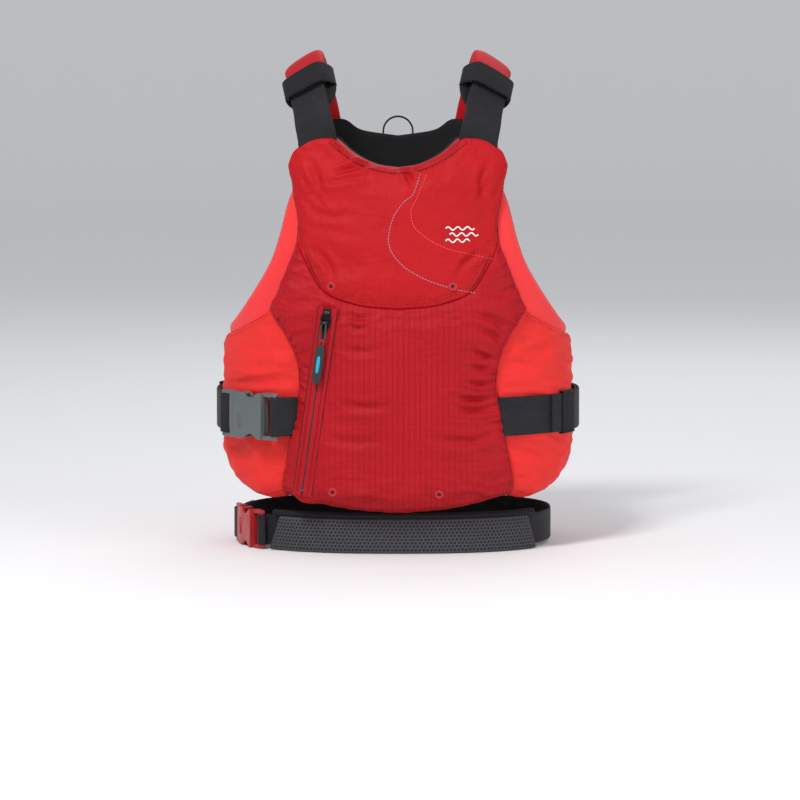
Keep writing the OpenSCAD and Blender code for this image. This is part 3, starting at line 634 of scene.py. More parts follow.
def pocket_rule(s, z):
    """Level folds beside the wings, a softer middle and a slight pull at the waist."""
    side = min(1.0, max(0.0, (abs(s) - 30) / 70))
    run = z + 0.22 * abs(s)
    folds = (0.3 + 2.1 * side) * ridged(s / 58, run / 15, 5.0) + 0.8 * side * ridged(s / 30, run / 7, 2.4)
    waist = 2.4 * math.exp(-(((z - 140) / 30) ** 2)) * side
    low = math.exp(-(((z - 62) / 22) ** 2))
    hem_folds = low * (1.3 * ridged((s + 0.5 * z) / 30, z / 12, 7.7) + 0.8 * ridged(s / 16, z / 22, 1.3))
    return folds + hem_folds + 1.6 * perlin(s / 46, z / 50, 2.0) - waist


def chest_rule(s, z):
    """Folds that run down from the strap ends, and a broad unevenness."""
    side = min(1.0, abs(s) / 70)
    run = abs(s) - 0.9 * (z - 380)
    strap = side * math.exp(-(((z - 372) / 30) ** 2))
    neck = math.exp(-(((z - 366) / 13) ** 2)) * (1 - side)
    folds = 2.0 * strap * ridged(run / 14, (z + abs(s)) / 60, 3.0) + 1.6 * neck * ridged(s / 34, z / 8, 9.0)
    return folds + 1.7 * perlin(s / 52, z / 36, 8.0) + 0.9 * ridged(s / 44, (z + 0.35 * s) / 17, 6.0)


def wing_swell(seed):
    def rule(s, z):
        fill = 1.6 * math.sin(math.pi * min(1, max(0, (z - 52) / 150)))
        return fill + 2.0 * ridged(s / 46, (z + 0.15 * abs(s)) / 15, seed) + 0.8 * ridged(s / 24, z / 7, seed + 4)
    return on_grid(rule)


pocket_swell, chest_swell = on_grid(pocket_rule), on_grid(chest_rule)


def mirror_sides(sides):
    bottom, right, top, left = sides
    return flip(bottom), flip(left)[::-1], flip(top), flip(right)[::-1]


# Creases in the front view: points, depth and width
CHEST_FOLDS = (([(-24, 384), (-44, 377), (-66, 370)], 3.0, 3.2), ([(-3, 381), (9, 371), (14, 360)], 2.6, 3.0),
    ([(44, 387), (26, 378), (10, 375)], 2.2, 3.0), ([(-88, 388), (-78, 368), (-76, 350)], 2.0, 4.0),
    ([(90, 386), (82, 366), (84, 344)], 2.0, 4.0), ([(-30, 372), (-52, 366), (-74, 362)], 1.6, 3.0),
    ([(-90, 338), (-66, 330), (-44, 332)], 1.4, 4.0), ([(88, 300), (66, 286), (56, 270)], 1.8, 3.6),
    ([(-86, 300), (-70, 288), (-62, 268)], 1.6, 3.6))
POCKET_FOLDS = (([(-50, 226), (-40, 222), (-28, 224)], 1.4, 2.6), ([(-52, 236), (-36, 233), (-24, 236)], 1.6, 2.8),
    ([(66, 236), (88, 232), (108, 222)], 1.8, 3.2), ([(78, 220), (92, 216), (103, 206)], 1.6, 2.6),
    ([(72, 200), (84, 196), (95, 190)], 1.6, 2.2), ([(70, 186), (82, 183), (93, 182)], 1.6, 2.2),
    ([(64, 171), (80, 168), (94, 168)], 1.8, 2.4), ([(52, 157), (74, 153), (96, 154)], 2.0, 2.6),
    ([(56, 144), (76, 142), (98, 143)], 1.6, 2.6), ([(-94, 186), (-86, 182), (-80, 184)], 1.4, 2.2),
    ([(-94, 170), (-86, 168), (-82, 170)], 1.4, 2.2), ([(-97, 148), (-88, 145), (-84, 147)], 1.4, 2.2),
    ([(-60, 150), (-30, 146), (-6, 149)], 1.5, 4.0), ([(30, 116), (66, 112), (100, 118)], 1.4, 4.0),
    ([(-74, 118), (-40, 112), (-10, 116)], 1.2, 4.5), ([(-58, 205), (-36, 200), (-14, 203)], 1.2, 4.0),
    ([(44, 56), (66, 60), (90, 54)], 2.0, 3.4), ([(-66, 52), (-30, 56), (0, 50)], 1.6, 3.6))


def creased(folds, h):
    return [(front(smooth(points), h), depth, wide) for points, depth, wide in folds]


pocket = pillow("front_pocket_panel", pocket_sides, cells_of(pocket_sides), POCKET_T, (6, 32, 35.4, 32), (18, 13, 14, 13),
    POCKET_RED, ((1, 2.2, 12, 4.5), (3, 2.2, 12, 4.5), (2, 0.5, 9, 7), (0, 0.9, 7, 6)), pocket_swell,
    settle=(front([(-68.5, 240), (-92, 60)], POCKET_T), POCKET_T + 1, POCKET_T + 3.2, 12.5),
    folds=creased(POCKET_FOLDS, POCKET_T))
chest_edge = [(0, 28), (0.48, 25), (0.62, 17), (0.86, 31), (1, 33)]
chest_r = [(0, 12), (0.5, 15), (0.7, 15), (0.9, 7), (1, 6)]
neck_h = [(0, 34), (0.17, 34), (0.21, 24), (0.3, 17), (0.7, 17), (0.79, 24), (0.83, 34), (1, 34)]
neck_r = [(0, 6), (0.17, 6), (0.26, 13), (0.74, 13), (0.83, 6), (1, 6)]
chest = pillow("chest_panel", chest_sides, cells_of(chest_sides), CHEST_T, (34.6, chest_edge, neck_h, chest_edge),
    (5, chest_r, neck_r, chest_r), CHEST_RED, ((0, 0.35, 9, 7), (2, 0.3, 9, 7)), chest_swell,
    folds=creased(CHEST_FOLDS, CHEST_T))
wings = {}
for side, sides in (("left", wing_sides), ("right", mirror_sides(wing_sides))):
    rear_side, seam_side = (1, 3) if side == "left" else (3, 1)
    edge_h = [6, 0, 25.5, 0]
    edge_h[rear_side], edge_h[seam_side] = 8, 29.6
    edge_r = [16, 0, 10, 0]
    edge_r[rear_side], edge_r[seam_side] = 15, 10
    wings[side] = pillow(side + "_wing_panel", sides, cells_of(sides), WING_T, edge_h, edge_r, WING_RED,
        ((seam_side, 0.8, 12, 7), (0, 1.2, 14, 8)), wing_swell(3.0 if side == "left" else 6.0))
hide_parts("pocket_cover", "front_foam")
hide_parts("chest_cover", "chest_foam")
for side in wings:
    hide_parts(side + "_wing_cover", side + "_wing_foam")

# Stretch bands round the armholes
band_out = front(smooth([(104, 357), (110, 340), (117, 311), (126, 284), (146, 247), (160, 223), (169, 207)]), 16)
for side in ("left", "right"):
    turn = (lambda line: line) if side == "left" else (lambda line: np.asarray(line) * [-1, 1])
    ends = [turn(np.array([band_seam[k], band_out[k]])) for k in (0, -1)]
    sides = (turn(band_seam), ends[1], turn(band_out), ends[0])
    band = pillow(side + "_armhole_band_roll", sides, (62, 12), 26, (24.5, 10, 6, 10), (6, 3, 14, 3), BAND_RED,
        ((0, 0.25, 6, 9),))
    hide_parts(side + "_armhole_band")

# ---------------------------------------------------------------- linings and back
def about_back(line):
    return (np.asarray(line) * [-1, 1] + [GIRTH, 0])[::-1]


def mirror_back(sides):
    bottom, right, top, left = sides
    return about_back(bottom), about_back(left)[::-1], about_back(top), about_back(right)[::-1]


front_side = join(wing_rear, [wing_rear[-1], band_out[-1]], band_out[::-1], [band_out[0], chest_side[0]], chest_side)
front_bottom = join(hem, wing_sides[0])
front_top = join(flip(strap_edge), flip(neck), neck, strap_edge)
lining_sides = (join(flip(front_bottom), front_bottom), front_side, front_top, flip(front_side)[::-1])
front_lining = pillow("front_lining_sheet", lining_sides, (110, 80), 2.3, (1.6,) * 4, (4,) * 4, LINING, inner=0.3)
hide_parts("front_lining")

BACK_SEAM = [(110, 56), (105, 90), (98, 150), (104, 210), (120, 246)]
back_seam = rear(smooth(BACK_SEAM), 24)
back_hem = rear([(0, 50), (55, 52), (110, 56)], 26)[::-1]
back_level = rear([(0, 246), (60, 247), (120, 246)], 26)[::-1]
back_arm = rear(smooth([(120, 246), (110, 300), (103, 350), (104, 395), (101, 412)]), 18)
back_top = rear(smooth([(101, 412), (84, 417), (58, 419), (38, 408), (0, 402)]), 22)
back_free = rear(smooth([(195, 112), (196, 160), (195, 203)]), 30)
wing_top = rear(smooth([(195, 203), (174, 207), (146, 224), (120, 246)]), 28)
wing_low = rear(smooth([(195, 112), (180, 90), (165, 64), (152, 54), (132, 53), (110, 56)]), 28)


def across_back(line):
    """A line from the wearer's left to the middle of the back, carried on to the right."""
    return join(line, about_back(line))


lower_back_sides = (across_back(back_hem), about_back(back_seam)[::-1], across_back(back_level), back_seam)
upper_back_sides = (across_back(back_level), about_back(back_arm)[::-1], across_back(back_top), back_arm)
back_wing_sides = (wing_low, back_seam, wing_top, back_free)


def back_swell(seed):
    def swell(s, z):
        out = np.zeros(s.shape)
        for index in np.ndindex(s.shape):
            out[index] = 1.4 * perlin(s[index] / 60, z[index] / 26, seed)
        return out
    return swell


lower_back = pillow("lower_back_panel", lower_back_sides, cells_of(lower_back_sides), BACK_T, (3.4, 21, 20, 21),
    (18, 16, 12, 16), POCKET_RED, ((1, 0.9, 10, 7), (3, 0.9, 10, 7)), back_swell(11.0))
upper_back = pillow("upper_back_panel", upper_back_sides, cells_of(upper_back_sides), BACK_T, (20, 5, 5, 5),
    (12, 18, 18, 18), CHEST_RED, ((1, 0.6, 10, 8), (3, 0.6, 10, 8)), back_swell(13.0))
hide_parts("lower_back_cover", "lower_back_foam")
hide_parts("upper_back_cover", "upper_back_foam")
padded = [pocket, chest, wings["left"], wings["right"], lower_back, upper_back]
for side, sides in (("left", back_wing_sides), ("right", mirror_back(back_wing_sides))):
    seam_side, free_side = (1, 3) if side == "left" else (3, 1)
    edge_h, edge_r = [4, 0, 16, 0], [18, 0, 14, 0]
    edge_h[seam_side], edge_h[free_side] = 21, 3.6
    edge_r[seam_side], edge_r[free_side] = 16, 20
    wing = pillow(side + "_back_wing_panel", sides, cells_of(sides), BACK_WING_T, edge_h, edge_r, WING_RED,
        ((seam_side, 0.6, 10, 7),), back_swell(15.0))
    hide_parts(side + "_back_wing")
    padded.append(wing)
back_outline_side = join(back_free, wing_top, back_arm)
back_lining_sides = (across_back(join(wing_low, back_hem)), about_back(back_outline_side)[::-1], across_back(back_top),
    back_outline_side)
back_lining = pillow("back_lining_sheet", back_lining_sides, (110, 80), 2.3, (1.6,) * 4, (4,) * 4, MESH_BACK, inner=0.3)
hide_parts("back_lining")


def settle_cloth(obj, frames_run=16, pressure=2.5, slack=-0.018, reach=3.5):
    """A short cloth run: the cover, held at its seams and on its body side, fills out and wrinkles."""
    count = obj["outer"]
    before = np.array([v.co[:] for v in obj.data.vertices])
    rim = set(v for e in edge_ring(obj, count) for v in e)
    pins = obj.vertex_groups.new(name="held")
    pins.add(list(range(count, len(before))) + list(rim), 1.0, "REPLACE")
    mod = obj.modifiers.new("cloth", "CLOTH")
    cfg = mod.settings
    cfg.vertex_group_mass = "held"
    cfg.quality = 6
    cfg.mass = 0.2
    cfg.tension_stiffness = cfg.compression_stiffness = 25
    cfg.bending_stiffness = 0.6
    cfg.shrink_min = slack
    cfg.use_pressure = True
    cfg.uniform_pressure_force = pressure
    cfg.effector_weights.gravity = 0
    mod.collision_settings.use_collision = False
    mod.point_cache.frame_end = frames_run
    scene = bpy.context.scene
    for step in range(1, frames_run + 1):
        scene.frame_set(step)
    moved = obj.evaluated_get(bpy.context.evaluated_depsgraph_get())
    after = np.array([v.co[:] for v in moved.data.vertices])
    scene.frame_set(1)
    obj.modifiers.remove(mod)
    shift = after - before
    size = np.linalg.norm(shift, axis=1)[:, None]
    shift *= np.minimum(1, reach * MM / np.maximum(size, 1e-9)) * FREEDOM[obj.name][:, None]
    obj.data.vertices.foreach_set("co", (before + shift).astype(np.float32).ravel())
    obj.data.update()


def edge_ring(obj, count):
    """Edges between the outer face and the body side: the rim of the panel."""
    for edge in obj.data.edges:
        a, b = edge.vertices
        if (a < count) != (b < count):
            yield a, b


clock = time.time()
for panel in padded:
    settle_cloth(panel)
print("cloth", round(time.time() - clock, 1))


def bake(obj):
    """Turns an object's modifiers into plain mesh."""
    mesh = bpy.data.meshes.new_from_object(obj.evaluated_get(bpy.context.evaluated_depsgraph_get()))
    obj.modifiers.clear()
    obj.data = mesh


def crumple(obj, seed, crinkle):
    """Presses gathers, folds and small crinkles into the outer face of a panel."""
    mesh = obj.data
    sides, puckers, folds = CREASES[obj.name]
    index = np.zeros(len(mesh.loops), int)
    mesh.loops.foreach_get("vertex_index", index)
    loop_uv = np.zeros(2 * len(index))
    mesh.uv_layers[0].data.foreach_get("uv", loop_uv)
    place = np.zeros((1, len(mesh.vertices), 2))
    place[0, index] = loop_uv.reshape(-1, 2) / MM
    co, normal = np.zeros(3 * len(mesh.vertices)), np.zeros(3 * len(mesh.vertices))
    mesh.vertices.foreach_get("co", co)
    mesh.vertices.foreach_get("normal", normal)
    co, normal = co.reshape(-1, 3), normal.reshape(-1, 3)
    outer = fade((normal * out_of_torso(place[0, :, 0])).sum(1), 0.05, 0.5)
    near = [nearest(place, side) for side in sides]
    inside = np.minimum.reduce([d[0] for d, _ in near])
    height = np.zeros(len(co))
    for k, (side, amount, reach, pitch) in enumerate(puckers):
        d, run = near[side]
        height += amount * np.exp(-d[0] / reach) * gathers(run[0], 3.7 * k + len(obj.name), pitch)
    for line, depth, wide in folds:
        d, run = nearest(place, line)
        along = np.sin(math.pi * np.clip(run[0] / run.max(), 0.04, 0.96))
        height += FOLD_DEPTH * depth * along * (0.55 * np.exp(-((d[0] / wide - 1.9) ** 2)) - np.exp(-((d[0] / wide) ** 2)))
    fine = [ridged(s / 15, z / 6, seed) + 0.6 * ridged(s / 5, z / 9, seed + 3) for s, z in place[0]]
    height += crinkle * (0.35 + 0.65 * np.exp(-inside / 22)) * np.array(fine)
    height *= np.clip(inside / 3, 0, 1) * outer
    if obj.name in HELD:
        line, wide = HELD[obj.name]
        height *= fade(nearest(place, line)[0][0], wide, 2 * wide)
    mesh.vertices.foreach_set("co", (co + normal * height[:, None] * MM).astype(np.float32).ravel())
    mesh.update()


for number, panel in enumerate(padded):
    subdivide(panel, 2 if panel in (pocket, chest) else 1)
    bake(panel)
    crumple(panel, 2.3 * number, 0.55)
    panel.data.shade_smooth()

# ---------------------------------------------------------------- things laid on the panels
def tree_of(*objects):
    verts, polys = [], []
    depsgraph = bpy.context.evaluated_depsgraph_get()
    for obj in objects:
        mesh = obj.evaluated_get(depsgraph).data
        start = len(verts)
        matrix = obj.matrix_world
        verts += [matrix @ v.co for v in mesh.vertices]
        polys += [[start + v for v in p.vertices] for p in mesh.polygons]
    return BVHTree.FromPolygons(verts, polys)


bpy.context.view_layer.update()
SURFACE = tree_of(*[o for o in bpy.data.objects if o.name.endswith(("_panel", "_roll"))])


def drape(line, lift=0.0, start=64.0):
    """Points of a (arc length, z) line dropped on to the panels, with their normals."""
    line = np.asarray(line, float)
    origin = on_torso(line[:, 0], line[:, 1], start)
    inward = -out_of_torso(line[:, 0])
    points, normals = [], []
    for o, d in zip(origin, inward):
        place, normal, _, _ = SURFACE.ray_cast(Vector(o * MM), Vector(d), 0.07)
        if place is None:
            continue
        normal = normal if normal.dot(Vector(d)) < 0 else -normal
        points.append(np.array(place) / MM + lift * np.array(normal))
        normals.append(np.array(normal))
    return np.array(points), np.array(normals)


def stitches(name, lines, material, length=2.5, pitch=3.4, radius=0.42, lift=0.05):
    """Thread stitches along (arc length, z) lines dropped on to the panels."""
    return sew(name, [drape(spaced(line, pitch), lift) for line in lines], material, length, pitch, radius)


def sew(name, runs, material, length=2.5, pitch=3.4, radius=0.42):
    """Separate thread stitches between the points of each run of (points, normals), all in one mesh."""
    verts, faces = [], []
    stations = ((-0.5, 0.35), (-0.38, 0.9), (0, 1.0), (0.38, 0.9), (0.5, 0.35))
    for points, normals in runs:
        for k in range(len(points) - 1):
            a, b = points[k], points[k + 1]
            if np.linalg.norm(b - a) > 2.5 * pitch:
                continue
            ahead = unit(b - a)
            side = unit(np.cross(ahead, normals[k]))
            up = np.cross(side, ahead)
            start = len(verts)
            for along, wide in stations:
                middle = (a + b) / 2 + ahead * along * length - up * radius * 0.9 * (2 * along) ** 2
                for j in range(6):
                    angle = math.pi * j / 3
                    verts.append(middle + radius * wide * (side * math.cos(angle) + up * math.sin(angle)))
            faces += grid_faces(len(stations), 6, start, wrap=True)
            faces += [tuple(range(start, start + 6))[::-1], tuple(range(start + 24, start + 30))]
    return make(name, np.array(verts), faces, "jacket", material)


def shifted(line, amount):
    """A (arc length, z) line moved sideways."""
    line = spaced(line, 3)
    ahead = unit(np.gradient(line, axis=0))
    return line + amount * np.stack([ahead[:, 1], -ahead[:, 0]], 1)


chest_seam = chest_sides[0]
seam_lines = [shifted(chest_seam, -4.5), shifted(chest_seam, -8.0)]
hem_line = [shifted(pocket_sides[0], -5.0)]
for turn in (np.array([1, 1]), np.array([-1, 1])):
    s = turn[0]
    seam_lines += [shifted(wing_seam * turn, -4 * s), shifted(band_lower * turn, 3.5 * s)]
    seam_lines += [shifted(band_upper * turn, 3.5 * s), shifted(band_out * turn, 4.5 * s)]
    hem_line.append(shifted(wing_sides[0] * turn, -5.0 * s))
stitches("seam_topstitch", seam_lines, RED_THREAD)
stitches("hem_topstitch", hem_line, DARK_THREAD_AND_SEAM_SHADE)
back_rows = [shifted(line, away) for line, away in ((back_seam, 4), (back_seam, -4), (back_level, -4.5), (back_arm, 5),
    (back_top, 5), (back_hem, -5), (back_free, 5), (wing_top, 5), (wing_low, -5))]
stitches("back_topstitch", back_rows + [about_back(row) for row in back_rows], RED_THREAD)
grey_curve = front(smooth([(21.8, 372), (14.5, 352), (6, 345), (-4, 331), (-9, 312), (-7, 298), (2, 286), (12, 278),
    (27, 270), (42, 264.5), (57, 260), (75, 256.5)]), CHEST_T)
pink_curve = front(smooth([(27.5, 371), (17.5, 347), (12.8, 338), (15, 322), (29, 309), (42, 302), (57, 297), (92, 289)]),
    CHEST_T)
stitches("grey_stitch_curve", [grey_curve], GREY_THREAD, 2.2, 2.9, 0.4, 0.12)
stitches("salmon_stitch_curve", [pink_curve], PINK_THREAD, 2.2, 2.9, 0.36, 0.12)


def laid_cord(name, line, radius, material, lift=0.2, squash=0.6, step=2.0, even=0):
    """A round thread or cord along a line; even levels its height over that many points to each side."""
    points, normals = drape(spaced(line, step), lift)
    if even:
        window = np.ones(2 * even + 1) / (2 * even + 1)
        pad = lambda v: np.concatenate([[v[0]] * even, v, [v[-1]] * even])
        points = np.stack([np.convolve(pad(c), window, "valid") for c in points.T], 1)
        normals = unit(np.stack([np.convolve(pad(c), window, "valid") for c in normals.T], 1))
    across, up = frames(points, normals)
    return sweep(name, points, across, up, circle(radius, 8, squash), "jacket", material)


def laid_strip(name, line, width, thick, material, lift):
    """A flat folded strip of cloth along a line on the panels, wavy like a turned edge."""
    points, normals = drape(spaced(line, 2.0), lift)
    points = points + normals * 0.35 * np.array([perlin(k / 5.0, 4.0) for k in range(len(points))])[:, None]
    across, up = frames(points, normals)
    return sweep(name, points, across, up, strip_profile(width, thick, 6), "jacket", material)


# Turned edge of the neckline, with its stitching
neck_line = np.concatenate([flip(neck), neck[1:]])
laid_strip("neck_facing", shifted(neck_line, 3.4), 7.0, 1.0, POCKET_RED, -0.1)
stitches("neck_topstitch", [shifted(neck_line, 5.8)], DARK_THREAD_AND_SEAM_SHADE, lift=0.5)


# Painted shade: a thin dark cord along each seam stands in for the shade in the seam's groove
for label, seam in (("chest", chest_seam), ("left_band", band_seam), ("right_band", flip(band_seam)),
        ("left_wing", wing_seam), ("right_wing", flip(wing_seam))):
    laid_cord(label + "_seam_line", seam, 0.7, DARK_THREAD_AND_SEAM_SHADE, 0.1, 0.5, even=7)

# A small plain embroidered mark: three wave lines
for row, (x0, x1, z) in enumerate(((46, 74, 319), (50, 78, 313), (46, 70, 307))):
    xs = np.linspace(x0, x1, 40)
    wave = front(np.stack([xs, z + 1.6 * np.sin((xs - x0) * 2 * math.pi / 9.4)], 1), CHEST_T)
    laid_cord("embroidered_wave_%d" % (row + 1), wave, 0.75, WHITE_THREAD, 0.15, 0.5, 0.9)

# Drain grommets: small moulded eyelets; a dark disc over each bore is painted shade standing in for the hole
verts, faces, shade_disc_verts, shade_disc_faces = [], [], [], []
for x, z, h in ((-65, 263, CHEST_T), (53, 263, CHEST_T), (-63, 63, POCKET_T), (40, 61, POCKET_T)):
    (place,), (normal,) = drape(front([(x, z)], h))
    side = unit(np.cross(normal, [0, 0, 1.0]))
    up = np.cross(side, normal)
    start = len(verts)
    for r, lift in ((4.6, -0.6), (4.5, 0.5), (3.9, 1.1), (2.9, 1.15), (2.0, 0.7), (1.6, -0.5), (1.6, -3.0)):
        for a in np.linspace(0, 2 * math.pi, 28, endpoint=False):
            verts.append(place + r * (side * math.cos(a) + up * math.sin(a)) + lift * normal)
    faces += grid_faces(7, 28, start, wrap=True)
    # Painted shade: a flat dark disc across the top of each bore stands in for the shade of the open hole
    start = len(shade_disc_verts)
    for r, lift in ((1.9, 0.35), (1.0, 0.3)):
        for a in np.linspace(0, 2 * math.pi, 28, endpoint=False):
            shade_disc_verts.append(place + r * (side * math.cos(a) + up * math.sin(a)) + lift * normal)
    shade_disc_faces += grid_faces(2, 28, start, wrap=True) + [tuple(range(start + 28, start + 56))]
hole_shade_discs = make("drain_eyelet_holes", np.array(shade_disc_verts), shade_disc_faces, "jacket", EYELET_HOLE_SHADE)
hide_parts("drain_grommets")
grommets = make("drain_eyelets", np.array(verts), faces, "jacket", EYELET_RED)
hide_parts("drain_grommets")

# ---------------------------------------------------------------- shoulders
ARCH_X, ARCH_Y, ARCH_Z, ARCH_R = 74.0, MID_Y - 3, 377.0, 95.0
ARCH_LEAN = math.radians(14)
STRAP_W, WEB_T, GAP = 38.0, 2.2, 0.4
LOCK_PHI = 61.0
STRAP_MID = ARCH_R + WEB_T / 2
TAIL_MID = STRAP_MID + WEB_T + GAP
MID_TURN = 2.5 + WEB_T / 2
LOCK_R = ARCH_R + 2.5 + WEB_T
PIVOT_R = 97.0
SLOPE = math.radians(19)                       # how far straps tip outward on the slope of the shoulder

SHOULDER_IN = 4.5                              # how far the top of the arch bends in towards the neck


def on_arch(side, across, phi, r):
    """World points from distance outward, angle round the arch in degrees and radius."""
    across, phi, r = np.broadcast_arrays(*(np.asarray(v, float) for v in (across, phi, r)))
    out = np.array([side * math.cos(ARCH_LEAN), 0, -math.sin(ARCH_LEAN)])
    up = np.array([side * math.sin(ARCH_LEAN), 0, math.cos(ARCH_LEAN)])
    turn = np.radians(phi)[..., None]
    radial = np.array([0, -1, 0]) * np.cos(turn) + up * np.sin(turn)
    roll = (SLOPE * fade(phi, 4, 34) * fade(phi, 185, 130))[..., None]
    across = across - SHOULDER_IN * fade(phi, 12, 42) * fade(phi, 185, 130)
    base = np.array([side * ARCH_X, ARCH_Y, ARCH_Z]) + PIVOT_R * radial
    tip = out * np.cos(roll) - radial * np.sin(roll)
    normal = radial * np.cos(roll) + out * np.sin(roll)
    return base + across[..., None] * tip + (r[..., None] - PIVOT_R) * normal


def arch_warp(side):
    """Turns (across, forward, up) points of the flat arch plane into world points."""
    return lambda v: on_arch(side, v[..., 0], np.degrees(np.arctan2(v[..., 2], v[..., 1])), np.hypot(v[..., 1], v[..., 2]))


def ray(degrees):
    a = np.radians(degrees)
    return np.stack([np.cos(a), np.sin(a)], -1)


def foot(r):
    """The strap's lower end, from the chest's top edge up to the arch."""
    u = np.linspace(0, 1, 16, endpoint=False)[:, None]
    p3 = r * ray(32.0)
    p2 = p3 - 15 * ray(122.0)
    p0 = np.array([ARCH_R - 21 + 1.5 * (r - ARCH_R), -8.0])
    p1 = p0 + [1.5, 26]
    return (1 - u) ** 3 * p0 + 3 * u * (1 - u) ** 2 * p1 + 3 * u * u * (1 - u) * p2 + u**3 * p3


def ribbon(name, path, across, width, body, material, warp=None, thick=WEB_T, ribs=13):
    """Webbing along a path, its width along one fixed direction."""
    across = np.asarray(across, float)
    up = unit(np.cross(unit(np.gradient(path, axis=0)), across))
    return sweep(name, path, across, up, webbing_profile(width, thick, ribs), body, material, warp=warp)


def soft(path, step=1.6, rounds=3):
    """Rounds the corners of a path and spaces its points evenly."""
    path = np.asarray(path, float)
    for _ in range(rounds):
        q, r = path[:-1] * 0.75 + path[1:] * 0.25, path[:-1] * 0.25 + path[1:] * 0.75
        path = np.concatenate([path[:1], np.stack([q, r], 1).reshape(-1, path.shape[1]), path[-1:]])
    return spaced(path, step)


def in_plane(points):
    """Flat arch-plane points as (across, forward, up)."""
    return np.concatenate([np.zeros((len(points), 1)), points], 1)


def loft(name, side, stations, body, material, power=0.45, n=44):
    """A padded band round the arch: (angle, half width, middle radius, half thickness, middle across) stations."""
    a = np.linspace(0, 2 * math.pi, n, endpoint=False)
    shape = np.stack([signed_power(np.cos(a), power), signed_power(np.sin(a), power)], 1)
    phi, wide, r, thick, middle = (np.array(c, float)[:, None] for c in zip(*stations))
    verts = on_arch(side, middle + wide * shape[:, 0], phi + 0 * wide, r + thick * shape[:, 1])
    rows = len(stations)
    faces = grid_faces(rows, n, wrap=True) + [tuple(range(n))[::-1], tuple(range((rows - 1) * n, rows * n))]
    run = np.broadcast_to(np.radians(phi) * ARCH_R, verts.shape[:2])
    uv = np.stack([run, np.broadcast_to(wide * shape[:, 0], run.shape)], -1).reshape(-1, 2)
    return make(name, verts.reshape(-1, 3), faces, body, material, uv)


def block(x0, x1, y0, y1, z0, z1):
    v = [(x, y, z) for x in (x0, x1) for y in (y0, y1) for z in (z0, z1)]
    f = [(0, 1, 3, 2), (4, 6, 7, 5), (0, 4, 5, 1), (2, 3, 7, 6), (0, 2, 6, 4), (1, 5, 7, 3)]
    return np.array(v, float), f


def rod(x, z, half, radius, n=20):
    """A bar along Y in the (x, y, z) of a buckle."""
    a = np.linspace(0, 2 * math.pi, n, endpoint=False)
    ring = np.stack([x + radius * np.cos(a), np.zeros(n), z + radius * np.sin(a)], 1)
    v = np.concatenate([ring + [0, -half, 0], ring + [0, half, 0]])
    return v, grid_faces(2, n, wrap=True) + [tuple(range(n))[::-1], tuple(range(n, 2 * n))]


def prism(outline, z0, z1):
    outline = np.asarray(outline, float)
    n = len(outline)
    v = np.concatenate([np.c_[outline, np.full(n, z0)], np.c_[outline, np.full(n, z1)]])
    return v, grid_faces(2, n, wrap=True) + [tuple(range(n))[::-1], tuple(range(n, 2 * n))]


def assemble(name, parts, place, body, material, round_edge=0.6, segments=3):
    verts, faces = [], []
    for v, f in parts:
        start = sum(len(w) for w in verts)
        verts.append(np.asarray(v, float))
        faces += [tuple(start + i for i in face) for face in f]
    obj = make(name, place(np.concatenate(verts)), faces, body, material)
    if round_edge:
        bevel(obj, round_edge, segments)
    return obj


def ladder_parts(width):
    """Ladder lock: two bars between rails, with a thumb lip; rear bar at the origin, +X to the lip."""
    inner = width + 2
    parts = [rod(0, 0, inner / 2 + 1, 2.2), rod(14, 0, inner / 2 + 1, 2.2)]
    for side in (-1, 1):
        y = side * (inner + 2.2) / 2
        rail = [(-2.6, -2), (-1.8, 2.4), (3, 5.2), (12, 5.0), (21.6, 3.6), (23.4, 2), (22.4, -3.0), (18, -3.0), (0, -2.6)]
        v, f = prism(rail, -1.1, 1.1)
        parts.append((np.stack([v[:, 0], y + v[:, 2], v[:, 1]], 1), f))
    parts.append(block(18.6, 23.2, -inner / 2 - 1, inner / 2 + 1, 2.0, 3.9))
    return parts


